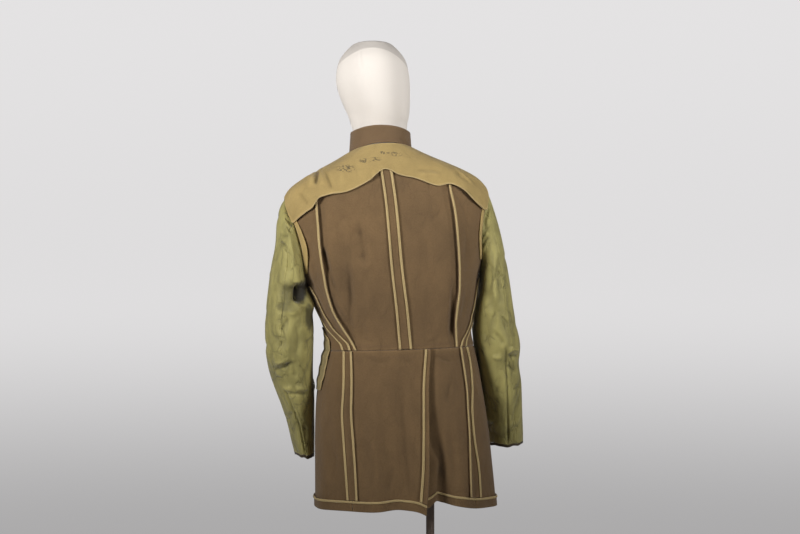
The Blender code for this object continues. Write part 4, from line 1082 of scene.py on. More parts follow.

# Painted shade darkens the creases and pits of a cloth, and its ridges are painted paler as rubbing and
# painted highlight: how far to look, how deep
HOLLOW_REACH = 0.008
PIT_REACH = 0.017
HOLLOW_DEPTH = 0.0026
PIT_DEEPEST = 3.0

# How much darker or paler threads, crumple, hollows, ridges and pits make a cloth: painted shade in cracks,
# hollows and pits, and painted highlight with rubbing on facets and ridges
THREAD_SHADES = (0.86, 1.06)
CRUMPLE_SPAN = (-0.4, 0.9)
CRUMPLE_PAINTED_SHADE = 0.13
CRUMPLE_RUB_AND_HIGHLIGHT = 0.3
HOLLOW_SHADE = 0.60
RIDGE_SHADE = 1.15
PIT_START = -0.8
PIT_SHADE = 0.06

# How a cloth's roughness follows its dye, and what is the same on every cloth
DYE_SPAN = (0.2, 0.8)
SMOOTHER = 0.06
ROUGHER = 0.04
SHEEN_ROUGHNESS = 0.5
CLOTH_GLOSS = 0.25

# Finishes of the cloths: weave, fuzz, lumps and crumple are reliefs in millimetres
Cloth = collections.namedtuple(
    "Cloth", "colour threads repeat patches flecks worn edge weave fuzz lumps crumple roughness sheen"
)
CLOTHS = {
    "wool": Cloth(
        (0.170, 0.104, 0.047), 900, 4, 0.30, 0.26, 1.16, 0.004, 0.16, 0.20, 0.9, 0.55, 0.94, 0.20
    ),
    "collar_wool": Cloth(
        (0.152, 0.094, 0.047), 900, 4, 0.18, 0.16, 1.2, 0.003, 0.14, 0.16, 0.4, 0.2, 0.92, 0.25
    ),
    "yoke_cotton": Cloth(
        (0.385, 0.275, 0.106), 1300, 2, 0.14, 0.12, 1.2, 0.004, 0.1, 0.1, 0.5, 0.6, 0.88, 0.10
    ),
    "binding_tape": Cloth(
        (0.485, 0.362, 0.170), 1500, 2, 0.16, 0.14, 1.1, 0.001, 0.12, 0.1, 0.3, 0.1, 0.85, 0.1
    ),
    # The pocket bag's olive cotton: partly its own tone, partly painted darker as the shade it hangs in at
    # the side
    "pocket_cotton": Cloth(
        (0.290, 0.230, 0.108), 1300, 2, 0.18, 0.12, 1.2, 0.004, 0.1, 0.1, 0.6, 1.0, 0.90, 0.10
    ),
    "sleeve_lining": Cloth(
        (0.345, 0.302, 0.104), 1800, 4, 0.16, 0.1, 1.1, 0.004, 0.06, 0.06, 0.6, 2.2, 0.58, 0.15
    ),
    "cuff_wool": Cloth(
        (0.060, 0.044, 0.024), 900, 4, 0.16, 0.20, 1.4, 0.002, 0.16, 0.20, 0.5, 0.4, 0.94, 0.20
    ),
    "form_cover": Cloth(
        (0.720, 0.665, 0.605), 1600, 2, 0.03, 0.03, 0.97, 0.006, 0.05, 0.05, 0.2, 0.0, 0.88, 0.1
    ),
}

# Faint old marks on the yoke: middle across and up, and how far each reaches
SMUDGES = table(
    "x z reach",
    (-0.190, 1.414, 0.027),
    (-0.150, 1.431, 0.016),
    (-0.128, 1.434, 0.015),
    (-0.108, 1.449, 0.014),
    (-0.084, 1.446, 0.017),
)
SMUDGE_FLATNESS = 2.4
SMUDGE_CORE = 0.4
SMUDGE_STRETCH = (0.8, 0.6, 1.5)
SMUDGE_SPAN = (0.49, 0.55)
SMUDGE_SHARE = 0.80
SMUDGE_COLOUR = (0.075, 0.058, 0.038)

# Painted shade in the hollow under the left arm, where its fold lies in deep shadow: middle across and up,
# reach across and up, and share
UNDERARM_PAINTED_SHADE = table(
    "x z wide tall share",
    (-0.2840, 1.1540, 0.0185, 0.0250, 0.98),
    (-0.2740, 1.1730, 0.0110, 0.0130, 0.85),
    (-0.3080, 1.1570, 0.0180, 0.0280, 0.52),
    (-0.3070, 1.1270, 0.0280, 0.0130, 0.42),
    (-0.2630, 1.1050, 0.0110, 0.0340, 0.74),
)
PAINTED_SHADE_BACK = (-0.02, 0.0)
PAINTED_SHADE_SPAN = (0.22, 1.12)
PAINTED_SHADE_UNEVEN = (0.3, 0.7, -0.16, 0.16)
PAINTED_SHADE_COLOUR = (0.016, 0.013, 0.008)

# The cap of the form's cover above its lower seam, painted greyer as the shade on top of the head: its
# middle, the seam and its bow, and the painted shade colour
CAP_MIDDLE = -0.130
CAP_SEAM = 1.6705
CAP_BOW = 6.0
CAP_SPAN = (-0.001, 0.001, 0.0, 0.85)
CAP_SHADE_COLOUR = (0.53, 0.485, 0.44)

# Paint of the stand, and the threads: a grain is a depth and a strength
STAND_PAINT = (0.215, 0.163, 0.130)
STAND_PATCHES = 0.15
STAND_FLECKS = 0.06
STAND_RUBBED = (0.24, 0.19, 0.16)
STAND_RUB_SPAN = (0.62, 0.75, 0.0, 0.5)
STAND_ROUGHNESS = (0.32, 0.5)
STAND_METALLIC = 0.6
PAINT_GRAIN = (0.0002, 0.15)
THREAD_COLOURS = {"khaki_thread": (0.40, 0.31, 0.16), "brown_thread": (0.15, 0.095, 0.052)}
THREAD_PATCHES = 0.12
THREAD_FLECKS = 0.2
THREAD_ROUGHNESS = (0.6, 0.75)
FIBRE_GRAIN = (0.0001, 0.4)


class Bench:
    """Adds nodes to a tree; an input is a value or another node's output."""

    def __init__(self, tree):
        self.tree = tree

    def feed(self, socket, value):
        """Join an output to an input socket, or set the socket's own value."""
        if isinstance(value, bpy.types.NodeSocket):
            self.tree.links.new(value, socket)
        else:
            socket.default_value = value

    def add(self, kind, inputs=(), **settings):
        """A new node with its settings, then its inputs by number or name."""
        node = self.tree.nodes.new(kind)
        for name, value in settings.items():
            setattr(node, name, value)
        for key, value in inputs.items() if isinstance(inputs, dict) else enumerate(inputs):
            self.feed(node.inputs[key], value)
        return node

    def math(self, operation, first, second=0.0):
        """The result of one sum."""
        return self.add("ShaderNodeMath", (first, second), operation=operation).outputs[0]

    def mix(self, share, first, second, blend="MIX"):
        """Two colours mixed by a share."""
        inputs = {0: share, 6: first, 7: second}
        return self.add("ShaderNodeMix", inputs, data_type="RGBA", blend_type=blend).outputs[2]

    def between(self, value, low, high, low_out=0.0, high_out=1.0):
        """A value's soft rise from one output to another as it passes from low to high."""
        inputs = (value, low, high, low_out, high_out)
        return self.add("ShaderNodeMapRange", inputs, interpolation_type="SMOOTHSTEP").outputs[0]

    def noise(self, vector, scale, detail=3.0, roughness=0.55, output="Fac"):
        """Cloudy noise, as a value or a colour."""
        inputs = {"Vector": vector, "Scale": scale, "Detail": detail, "Roughness": roughness}
        return self.add("ShaderNodeTexNoise", inputs).outputs[output]

    def split(self, vector):
        """A vector's X, Y and Z."""
        return self.add("ShaderNodeSeparateXYZ", (vector,)).outputs

    def shaded(self, tint, shade):
        """A colour made darker or paler by a value."""
        grey = self.add("ShaderNodeCombineColor", (shade, shade, shade)).outputs[0]
        return self.mix(1.0, tint, grey, "MULTIPLY")

    def kept(self, name):
        """A value that the piece keeps on its points."""
        return self.add("ShaderNodeAttribute", attribute_name=name).outputs["Fac"]

    def place(self, kind):
        """A coordinate of the piece: Object or UV."""
        return self.add("ShaderNodeTexCoord").outputs[kind]

    def use(self, group, **inputs):
        """The outputs of a node group, placed with its values."""
        return self.add("ShaderNodeGroup", inputs, node_tree=group).outputs


def colour(red, green, blue):
    """A colour with nothing see-through."""
    return (red, green, blue, 1.0)


def new_group(name, inputs, outputs):
    """An empty node group with named inputs and outputs."""
    tree = bpy.data.node_groups.new(name, "ShaderNodeTree")
    for kind, words in (("INPUT", inputs), ("OUTPUT", outputs)):
        for word, socket in words.items():
            tree.interface.new_socket(word, in_out=kind, socket_type=f"NodeSocket{socket}")
    bench = Bench(tree)
    given = bench.add("NodeGroupInput").outputs
    made = bench.add("NodeGroupOutput").inputs
    return bench, given, made


def make_weave_group():
    """Crossing threads, raised where they pass over: a repeat of 2 is plain weave, 4 is twill."""
    inputs = {"Vector": "Vector", "Threads": "Float", "Repeat": "Float"}
    bench, given, made = new_group("woven threads", inputs, {"Height": "Float"})
    parts = bench.split(given["Vector"])
    warp = bench.math("MULTIPLY", parts["X"], given["Threads"])
    weft = bench.math("MULTIPLY", parts["Y"], given["Threads"])
    step = bench.math("ADD", bench.math("FLOOR", warp), bench.math("FLOOR", weft))
    turn = bench.math("FLOORED_MODULO", step, given["Repeat"])
    over = bench.math("LESS_THAN", turn, bench.math("MULTIPLY", given["Repeat"], OVER_SHARE))
    ridges = []
    for place in (warp, weft):
        wave = bench.math("SINE", bench.math("MULTIPLY", place, math.pi))
        ridges.append(bench.math("ABSOLUTE", wave))
    lifted = bench.math("MULTIPLY", ridges[0], over)
    lowered = bench.math("MULTIPLY", ridges[1], bench.math("SUBTRACT", 1.0, over))
    bench.feed(made["Height"], bench.math("ADD", lifted, lowered))
    return bench.tree


def make_mottle_group():
    """Broad uneven shade and fine flecks over a colour."""
    inputs = {"Vector": "Vector", "Colour": "Color", "Patches": "Float", "Flecks": "Float"}
    bench, given, made = new_group("uneven dye", inputs, {"Colour": "Color", "Patch": "Float"})
    patch = bench.noise(given["Vector"], *PATCH_NOISE)
    fleck = bench.noise(given["Vector"], *FLECK_NOISE)
    shades = []
    for value, amount in ((patch, given["Patches"]), (fleck, given["Flecks"])):
        swing = bench.math("MULTIPLY", bench.math("SUBTRACT", value, 0.5), 2.0)
        shades.append(bench.math("ADD", 1.0, bench.math("MULTIPLY", swing, amount)))
    bench.feed(made["Colour"], bench.shaded(given["Colour"], bench.math("MULTIPLY", *shades)))
    bench.feed(made["Patch"], patch)
    return bench.tree


def make_wear_group():
    """A mask that is 1 at the edges of a piece and breaks up a little way in."""
    inputs = {"Vector": "Vector", "Edge": "Float", "Width": "Float"}
    bench, given, made = new_group("worn edges", inputs, {"Mask": "Float"})
    ragged = bench.math("MULTIPLY", bench.noise(given["Vector"], *EDGE_NOISE), given["Width"])
    away = bench.math("ADD", given["Edge"], bench.math("SUBTRACT", ragged, given["Width"]))
    bench.feed(made["Mask"], bench.between(away, 0.0, given["Width"], 1.0, 0.0))
    return bench.tree


def make_nap_group():
    """Fine fuzz and soft lumps, as a height in millimetres."""
    inputs = {"Vector": "Vector", "Fuzz": "Float", "Lumps": "Float"}
    bench, given, made = new_group("nap", inputs, {"Height": "Float"})
    fuzz = bench.math("MULTIPLY", bench.noise(given["Vector"], *FUZZ_NOISE), given["Fuzz"])
    lumps = bench.math("MULTIPLY", bench.noise(given["Vector"], *LUMP_NOISE), given["Lumps"])
    bench.feed(made["Height"], bench.math("ADD", fuzz, lumps))
    return bench.tree


def make_crumple_group():
    """Facets of crumpled cloth, longer along the piece, with thin broken creases between them."""
    outputs = {"Height": "Float", "Shade": "Float"}
    bench, given, made = new_group("crumpled cloth", {"Vector": "Vector", "Depth": "Float"}, outputs)
    wander = bench.noise(given["Vector"], *WANDER_NOISE, output="Color")
    inputs = {0: wander, 1: CRUMPLE_WANDER, 2: given["Vector"]}
    bent = bench.add("ShaderNodeVectorMath", inputs, operation="MULTIPLY_ADD").outputs[0]
    broken = bench.between(bench.noise(given["Vector"], *BREAK_NOISE), *BREAK_SPAN)
    facets = []
    for crumple in CRUMPLES:
        inputs = {"Vector": bent, "Rotation": (0.0, crumple.turn, 0.0), "Scale": CRUMPLE_STRETCH}
        mapped = bench.add("ShaderNodeMapping", inputs).outputs[0]
        inputs = {"Vector": mapped, "Scale": crumple.scale}
        away = bench.add("ShaderNodeTexVoronoi", inputs, feature="DISTANCE_TO_EDGE").outputs["Distance"]
        facet = bench.between(away, 0.0, FACET_REACH)
        crack = bench.math("MULTIPLY", bench.between(away, *CRACK_SPAN, 1.0, 0.0), broken)
        facets.append(bench.math("MULTIPLY", bench.math("SUBTRACT", facet, crack), crumple.share))
    shade = bench.math("ADD", *facets)
    bench.feed(made["Height"], bench.math("MULTIPLY", shade, given["Depth"]))
    bench.feed(made["Shade"], shade)
    return bench.tree


def start_material(name):
    """A new material, a bench for its nodes and its shader."""
    material = bpy.data.materials.new(name)
    material.use_nodes = True
    bench = Bench(material.node_tree)
    return material, bench, bench.tree.nodes["Principled BSDF"]


def add_bump(bench, shader, height, distance, strength):
    """Relief of a height, without moving the surface."""
    bump = bench.add("ShaderNodeBump", {"Strength": strength, "Distance": distance, "Height": height})
    bench.feed(shader.inputs["Normal"], bump.outputs["Normal"])


def patch_distance(bench, parts, patch, wide, tall):
    """Squared distance from a patch's middle, which is 1 at its reach across and up."""
    sideways = bench.math("DIVIDE", bench.math("SUBTRACT", parts["X"], patch.x), wide)
    up = bench.math("DIVIDE", bench.math("SUBTRACT", parts["Z"], patch.z), tall)
    return bench.math("ADD", bench.math("POWER", sideways, 2.0), bench.math("POWER", up, 2.0))


def add_smudges(bench, where, base):
    """Old marks as broken specks in soft patches, with no letters."""
    stretched = bench.add("ShaderNodeMapping", {"Vector": where, "Scale": SMUDGE_STRETCH}).outputs[0]
    mark = bench.between(bench.noise(stretched, *SMUDGE_NOISE), *SMUDGE_SPAN)
    parts = bench.split(where)
    total = 0.0
    for smudge in SMUDGES:
        squared = patch_distance(bench, parts, smudge, smudge.reach, smudge.reach / SMUDGE_FLATNESS)
        near = bench.between(bench.math("SQRT", squared), SMUDGE_CORE, 1.0, 1.0, 0.0)
        total = bench.math("ADD", near, total)
    share = bench.math("MULTIPLY", bench.math("MULTIPLY", mark, total), SMUDGE_SHARE)
    return bench.mix(share, base, colour(*SMUDGE_COLOUR))


def add_underarm_painted_shade(bench, where, base):
    """Painted shade: soft dark patches on the back of the sleeve, with uneven edges."""
    parts = bench.split(where)
    back = bench.between(parts["Y"], *PAINTED_SHADE_BACK, 1.0, 0.0)
    uneven = bench.between(bench.noise(where, *PAINTED_SHADE_NOISE), *PAINTED_SHADE_UNEVEN)
    # Each patch darkens the lining as painted shade of the underarm hollow
    for painted_shade in UNDERARM_PAINTED_SHADE:
        away = bench.math("ADD", patch_distance(bench, parts, painted_shade, painted_shade.wide, painted_shade.tall), uneven)
        near = bench.between(away, *PAINTED_SHADE_SPAN, painted_shade.share, 0.0)
        base = bench.mix(bench.math("MULTIPLY", near, back), base, colour(*PAINTED_SHADE_COLOUR))
    return base


def add_head_top_shade(bench, where, base):
    """The cover's cap above its seam, painted a little greyer than the rest as the shade on top of the head.
    """
    parts = bench.split(where)
    bow = bench.math("POWER", bench.math("SUBTRACT", parts["X"], CAP_MIDDLE), 2.0)
    seam = bench.math("SUBTRACT", CAP_SEAM, bench.math("MULTIPLY", bow, CAP_BOW))
    cap = bench.between(bench.math("SUBTRACT", parts["Z"], seam), *CAP_SPAN)
    return bench.mix(cap, base, colour(*CAP_SHADE_COLOUR))


# What some of the cloths have on top of their dye: old marks on the yoke, and painted shade under the left
# arm and on top of the head
MARKS_AND_PAINTED_SHADES = {"yoke_cotton": add_smudges, "sleeve_lining": add_underarm_painted_shade, "form_cover": add_head_top_shade}


def cloth_shade(bench, cloth, weave, folds):
    """How dark or pale a cloth is: its threads, painted shade in its crumple's cracks, hollows and pits, and
    paler crumple facets and ridges that are rubbing and painted highlight.
    """
    painted_shade = CRUMPLE_PAINTED_SHADE * cloth.crumple
    hollow = bench.kept("hollow")
    # Cracks, hollows and pits are darkened as painted shade; facets and ridges are made paler as rubbing and
    # painted highlight
    shades = (
        bench.between(weave["Height"], 0.0, 1.0, *THREAD_SHADES),
        bench.between(folds["Shade"], *CRUMPLE_SPAN, 1.0 - painted_shade, 1.0 + CRUMPLE_RUB_AND_HIGHLIGHT * painted_shade),
        bench.between(hollow, -1.0, 0.0, HOLLOW_SHADE, 1.0),
        bench.between(hollow, 0.0, 1.0, 1.0, RIDGE_SHADE),
        bench.between(bench.kept("pit"), -PIT_DEEPEST, PIT_START, PIT_SHADE, 1.0),
    )
    total = 1.0
    for shade in shades:
        total = bench.math("MULTIPLY", shade, total)
    return total


def make_cloth_material(name, groups):
    """Woven cloth: uneven dye, threads that show in shade and relief, nap, worn edges, and painted shade in
    its creases and pits.
    """
    cloth = CLOTHS[name]
    material, bench, shader = start_material(name + "_finish")
    where = bench.place("Object")
    weave = bench.use(groups["weave"], Vector=bench.place("UV"), Threads=cloth.threads, Repeat=cloth.repeat)
    tint = colour(*cloth.colour)
    dye = bench.use(groups["mottle"], Vector=where, Colour=tint, Patches=cloth.patches, Flecks=cloth.flecks)
    wear = bench.use(groups["wear"], Vector=where, Edge=bench.kept("edge_near"), Width=cloth.edge)
    nap = bench.use(groups["nap"], Vector=where, Fuzz=cloth.fuzz, Lumps=cloth.lumps)
    folds = bench.use(groups["crumple"], Vector=where, Depth=cloth.crumple)
    # The dyed colour with the painted shade and highlight of cloth_shade
    woven = bench.shaded(dye["Colour"], cloth_shade(bench, cloth, weave, folds))
    bright = bench.mix(1.0, woven, colour(*[cloth.worn] * 3), "MULTIPLY")
    worn = bench.mix(wear["Mask"], woven, bright)
    # The yoke's marks and the painted shade of the lining and the form's cover go on here
    if name in MARKS_AND_PAINTED_SHADES:
        worn = MARKS_AND_PAINTED_SHADES[name](bench, where, worn)
    bench.feed(shader.inputs["Base Color"], worn)
    smooth, rough = cloth.roughness - SMOOTHER, min(1.0, cloth.roughness + ROUGHER)
    bench.feed(shader.inputs["Roughness"], bench.between(dye["Patch"], *DYE_SPAN, smooth, rough))
    bench.feed(shader.inputs["Sheen Weight"], cloth.sheen)
    bench.feed(shader.inputs["Sheen Roughness"], SHEEN_ROUGHNESS)
    bench.feed(shader.inputs["Specular IOR Level"], CLOTH_GLOSS)
    threads = bench.math("MULTIPLY", weave["Height"], cloth.weave)
    height = bench.math("ADD", bench.math("ADD", threads, nap["Height"]), folds["Height"])
    add_bump(bench, shader, height, MILLIMETRE, 1.0)
    return material


def make_stand_material(groups):
    """Dark bronze paint, a little uneven, rubbed brighter in places."""
    material, bench, shader = start_material("stand_metal_finish")
    where = bench.place("Object")
    paint = colour(*STAND_PAINT)
    dye = bench.use(groups["mottle"], Vector=where, Colour=paint, Patches=STAND_PATCHES, Flecks=STAND_FLECKS)
    rubbed = bench.between(bench.noise(where, *RUB_NOISE), *STAND_RUB_SPAN)
    bench.feed(shader.inputs["Base Color"], bench.mix(rubbed, dye["Colour"], colour(*STAND_RUBBED)))
    bench.feed(shader.inputs["Roughness"], bench.between(dye["Patch"], *DYE_SPAN, *STAND_ROUGHNESS))
    bench.feed(shader.inputs["Metallic"], STAND_METALLIC)
    add_bump(bench, shader, bench.noise(where, *PAINT_NOISE), *PAINT_GRAIN)
    return material


def make_thread_material(name, groups):
    """Sewing thread, with its own uneven shade."""
    material, bench, shader = start_material(name)
    where = bench.place("Object")
    tint = colour(*THREAD_COLOURS[name])
    dye = bench.use(groups["mottle"], Vector=where, Colour=tint, Patches=THREAD_PATCHES, Flecks=THREAD_FLECKS)
    bench.feed(shader.inputs["Base Color"], dye["Colour"])
    bench.feed(shader.inputs["Roughness"], bench.between(dye["Patch"], *DYE_SPAN, *THREAD_ROUGHNESS))
    add_bump(bench, shader, bench.noise(where, *FIBRE_NOISE), *FIBRE_GRAIN)
    return material


def make_finishes():
    """Every material of the jacket, the form and the stand, by name."""
    groups = {
        "weave": make_weave_group(),
        "mottle": make_mottle_group(),
        "wear": make_wear_group(),
        "nap": make_nap_group(),
        "crumple": make_crumple_group(),
    }
    made = {name: make_cloth_material(name, groups) for name in CLOTHS}
    made["stand_metal"] = make_stand_material(groups)
    for name in THREAD_COLOURS:
        made[name] = make_thread_material(name, groups)
    return made


def hollows(points, reach):
    """How far each point of a grid lies below (minus) or above the cloth round it."""
    around = points
    for axis in (0, 1):
        step = length(np.diff(points, axis=axis)).mean()
        count = min(max(1, round(reach / step)), points.shape[axis] // 3)
        wide = [(count, count) if number == axis else (0, 0) for number in range(3)]
        padded = np.pad(around, wide, mode="reflect", reflect_type="odd")
        around = np.lib.stride_tricks.sliding_window_view(padded, 2 * count + 1, axis=axis).mean(axis=-1)
    normals = unit(np.cross(np.gradient(around, axis=1), np.gradient(around, axis=0)))
    return np.clip(np.sum((points - around) * normals, axis=-1) / HOLLOW_DEPTH, -PIT_DEEPEST, 1.0)


def grid_faces(rows, columns, closed=False):
    """Four-sided faces between rows of points, joined round to the first column if closed."""
    index = np.arange(rows * columns).reshape(rows, columns)
    if closed:
        index = np.concatenate([index, index[:, :1]], axis=1)
    corners = (index[:-1, :-1], index[:-1, 1:], index[1:, 1:], index[1:, :-1])
    return np.stack(corners, -1).reshape(-1, 4)


def clean_mesh(mesh):
    """Merge points that lie together and turn the faces outwards."""
    shape = bmesh.new()
    shape.from_mesh(mesh)
    bmesh.ops.remove_doubles(shape, verts=shape.verts, dist=MERGE)
    bmesh.ops.recalc_face_normals(shape, faces=shape.faces)
    shape.to_mesh(mesh)
    shape.free()
    mesh.shade_smooth()


def add_object(name, data, material=None):
    """A new object in the scene, with its material."""
    thing = bpy.data.objects.new(name, data)
    if material:
        data.materials.append(material)
    bpy.context.scene.collection.objects.link(thing)
    return thing


class Workroom:
    """Makes the cloth pieces and keeps what each was cut from."""

    # A little less than the whole cut; nothing in this script uses it
    AREA_SHARE = 0.999

    def __init__(self):
        self.finishes = make_finishes()
        self.cuts = {}
        self.seams = {thread: [] for thread in THREAD_COLOURS}

    def mesh(self, name, points, closed=False, mirrored=False):
        """A grid of points made into a mesh with a UV map in metres, its edges and its hollows."""
        rows, columns = points.shape[:2]
        faces = grid_faces(rows, columns, closed)
        if mirrored:
            faces = faces[:, ::-1]
        mesh = bpy.data.meshes.new(name)
        mesh.from_pydata(points.reshape(-1, 3).tolist(), [], faces.tolist())
        middle = columns // 2
        wide = length(np.diff(points, axis=1))
        tall = length(np.diff(points, axis=0)).mean(axis=1)
        u = np.concatenate([np.zeros((rows, 1)), np.cumsum(wide, axis=1)], axis=1)
        v = np.concatenate([[0.0], np.cumsum(tall)])[:, None] * np.ones((1, columns))
        near = np.minimum(np.minimum(u, u[:, -1:] - u), np.minimum(v, v[-1, 0] - v))
        flat = np.stack([u - u[:, middle : middle + 1], v], -1).reshape(-1, 2)
        mesh.uv_layers.new(name="cut").uv.foreach_set("vector", flat[faces.reshape(-1)].reshape(-1))
        mesh.attributes.new("edge_near", "FLOAT", "POINT").data.foreach_set("value", near.reshape(-1))
        for word, reach in (("hollow", HOLLOW_REACH), ("pit", PIT_REACH)):
            hollow = np.zeros((rows, columns))
            if not closed:
                hollow = hollows(points[:, ::-1], reach)[:, ::-1] if mirrored else hollows(points, reach)
            mesh.attributes.new(word, "FLOAT", "POINT").data.foreach_set("value", hollow.reshape(-1))
        mesh.shade_smooth()
        area = np.sum(wide[:-1] * length(np.diff(points, axis=0))[:, :-1])
        self.cuts[name] = (float(u[:, -1].max()), float(v[-1, 0]), float(area))
        return mesh

    def cloth(self, node, points, thickness, finish, closed=False, mirrored=False, slot=None):
        """A cloth wall from rows of points on its outer face, in the place of a node."""
        name = node + "_cloth"
        thing = add_object(name, self.mesh(name, points, closed, mirrored), self.finishes[finish])
        solid = thing.modifiers.new("thickness", "SOLIDIFY")
        solid.thickness = thickness
        solid.offset = -1.0
        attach(thing, "root")
        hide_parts(node)
        return thing

    def bound_edge(self, name, line, radius):
        """A thin round roll of binding along a line of points, with closed ends."""
        forward = unit(np.gradient(line, axis=0))
        outward = unit(np.cross(forward, UP))
        upward = np.cross(outward, forward)
        sine, cosine = turned(np.linspace(0.0, 360.0, BOUND_EDGE_SIDES, endpoint=False))
        spokes = outward[:, None] * cosine[:, None] + upward[:, None] * sine[:, None]
        rings = line[:, None] + radius * spokes
        rings = np.concatenate([rings[:1] * 0 + line[0], rings, rings[:1] * 0 + line[-1]])
        mesh = bpy.data.meshes.new(name)
        faces = grid_faces(*rings.shape[:2], closed=True)
        mesh.from_pydata(rings.reshape(-1, 3).tolist(), [], faces.tolist())
        clean_mesh(mesh)
        roll = add_object(name, mesh, self.finishes["binding_tape"])
        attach(roll, "root")
        return roll

    def sew(self, points, thread="khaki_thread"):
        """Keep a line of points for stitches."""
        self.seams[thread].append(points)

    def declare(self, piece, held, rests_on, with_pieces=()):
        """Does nothing: the piece, how it is held, what it rests on and what is sewn to it are not used."""


# How far a tape's middle stands above its edges, from edge to edge
CROWN = TAPE_CROWN * (1 - np.linspace(-1, 1, TAPE_CELLS + 1) ** 2)


def make_tape(room, node, surface, creases, rows, first, last, out):
    """Binding tape with a soft crown, stitched along its middle."""
    angles = angles_across([first, last], TAPE_CELLS)
    lift = out(angles, rows[:, None]) if callable(out) else out
    points = laid(surface, creases, lift + CROWN)(angles, rows[:, None])
    tape = room.cloth(node, points, BINDING, "binding_tape")
    base = np.broadcast_to(lift, angles.shape)[:, TAPE_CELLS // 2]
    room.sew(laid(surface, creases, base + TAPE_CROWN)((first + last) / 2, rows))
    return tape


def step_down(side, height):
    """Where the back starts to drop beside the side back's free edge, and where it is down."""
    edge = pleat_angle(side, height)
    return slide(edge, height, -side * STEP_NEAR), slide(edge, height, -side * STEP_UNDER)


def make_upper_back(room, side, word):
    """Half of the back, which drops under the side back's free edge but not at the shoulder seam."""

    def drop(angle, height):
        near, under = step_down(side, height)
        down = -STEP_DEPTH * ease((angle - near) / (under - near))
        return down * (1 - ease((height - PLEAT_TOP) / PLEAT_BLEND))

    rows = upper_rows(FINE)
    start = slide(centre_angle(rows), rows, side * SEAM_GAP / 2)
    shoulder = np.full(rows.shape, side * SHOULDER_EDGE)
    last = slide(pleat_angle(side, rows), rows, side * BACK_UNDER)
    last = np.where(np.abs(last) > SHOULDER_EDGE, shoulder, last)
    stations = [start, *step_down(side, rows), last]
    over = ease((rows - PLEAT_TOP) / PLEAT_BLEND)
    spaced = [start + (shoulder - start) * share for share in SHOULDER_SHARES]
    stations = [low + (high - low) * over for low, high in zip(stations, spaced)]
    angles = angles_across(left_to_right(side, *stations), *left_to_right(side, *BACK_CELLS))
    points = laid(upper, BACK_CREASES, drop)(angles, rows[:, None])
    back = room.cloth(f"upper_back_{word}", points, WOOL, "wool")
    room.declare(back, "hung", ["dress_form_cover"])
    return back


def make_side_back(room, side, word, back):
    """The side back over the back's edge, with its tape, and with a strip along the armhole."""

    def lift(angle, height):
        edge = body_point(pleat_angle(side, height), height)
        away = length(body_point(angle, height) - edge)
        width = length(body_point(outer_edge(side, height, "back"), height) - edge)
        return pleat_lift(height) * (1 - ease(away / np.minimum(PLEAT_LIFT_WIDTH, width / 2)))

    rows = upper_rows(FINE, SIDE_BACK_TOP)
    last = slide(outer_edge(side, rows, "back"), rows, -side * SEAM_GAP / 2)
    angles = angles_across(left_to_right(side, pleat_angle(side, rows), last), SIDE_BACK_CELLS)
    points = laid(upper, SIDE_BACK_CREASES, lift)(angles, rows[:, None])
    side_back = room.cloth(f"side_back_{word}", points, WOOL, "wool")

    edge = float(yoke_edge_at(pleat_angle(side, SHOULDER_TIP)).height)
    rows = spread(WAIST + WAIST_CLEAR, edge + 2 * UNDER_YOKE, edge - WAIST, FINE)
    first = slide(pleat_angle(side, rows), rows, side * TAPE_INSET)
    ends = left_to_right(side, first, slide(first, rows, side * TAPE_WIDTH))
    out = raised(lift, layer(0.0, BINDING))
    tape = make_tape(room, f"pleat_tape_{word}", upper, SIDE_BACK_CREASES, rows, *ends, out)
    strip = make_armhole_strip(room, side, word)
    room.declare(side_back, "hung", [back], [tape, strip])


def make_armhole_strip(room, side, word):
    """A cotton strip along the back of an armhole, with a row of stitches near each edge."""
    low = STRIP_LOW[side]
    rows = spread(low, STRIP_TOP, STRIP_TOP - low, FINE)
    edge = slide(outer_edge(side, rows, "back"), rows, -side * STRIP_INSET)
    swell = turned(180.0 * (rows - low) / (STRIP_TOP - low))[0]
    inner = slide(edge, rows, -side * (STRIP_WIDTH + STRIP_SWELL[side] * swell))
    share = np.linspace(0.0, 1.0, STRIP_CELLS + 1)
    stand = STRIP_STAND[side] * swell[:, None] * (share if side < 0 else 1 - share)
    angles = angles_across(left_to_right(side, inner, edge), STRIP_CELLS)
    points = laid(upper, SIDE_BACK_CREASES, layer(STRIP_LIFT, COTTON) + stand)(angles, rows[:, None])
    strip = room.cloth(f"armhole_strip_{word}", points, COTTON, "yoke_cotton")
    for column in (1, STRIP_CELLS - 1):
        room.sew(points[:, column])
    return strip


def lap_lift(angle, _row):
    """The left front lies over the right one near the centre front."""
    return LAP_RISE * ease((np.abs(angle) - LAP_START) / LAP_SPAN)


FRONT_LIFTS = {-1: lap_lift, 1: 0.0}


def front_edge(side, height):
    """Angle of a front's free edge, past the centre front."""
    return slide(np.full(height.shape, side * 180.0), height, side * FRONT_REACH[side])


def make_upper_front(room, side, word):
    """A front above the waist, with stitches along the edge that lies on top."""
    rows = upper_rows(COARSE)
    first = slide(outer_edge(side, rows, "front"), rows, side * SEAM_GAP / 2)
    last = front_edge(side, rows)
    angles = angles_across(left_to_right(side, first, last), FRONT_CELLS)
    points = laid(upper, FRONT_CREASES, FRONT_LIFTS[side])(angles, rows[:, None])
    front = room.cloth(f"upper_front_{word}", points, WOOL, "wool")
    room.declare(front, "hung", ["dress_form_cover"])
    if side < 0:
        stitches = laid(upper, FRONT_CREASES, raised(lap_lift, STITCH_RISE))
        room.sew(stitches(slide(last, rows, FRONT_STITCH_INSET), rows), "brown_thread")


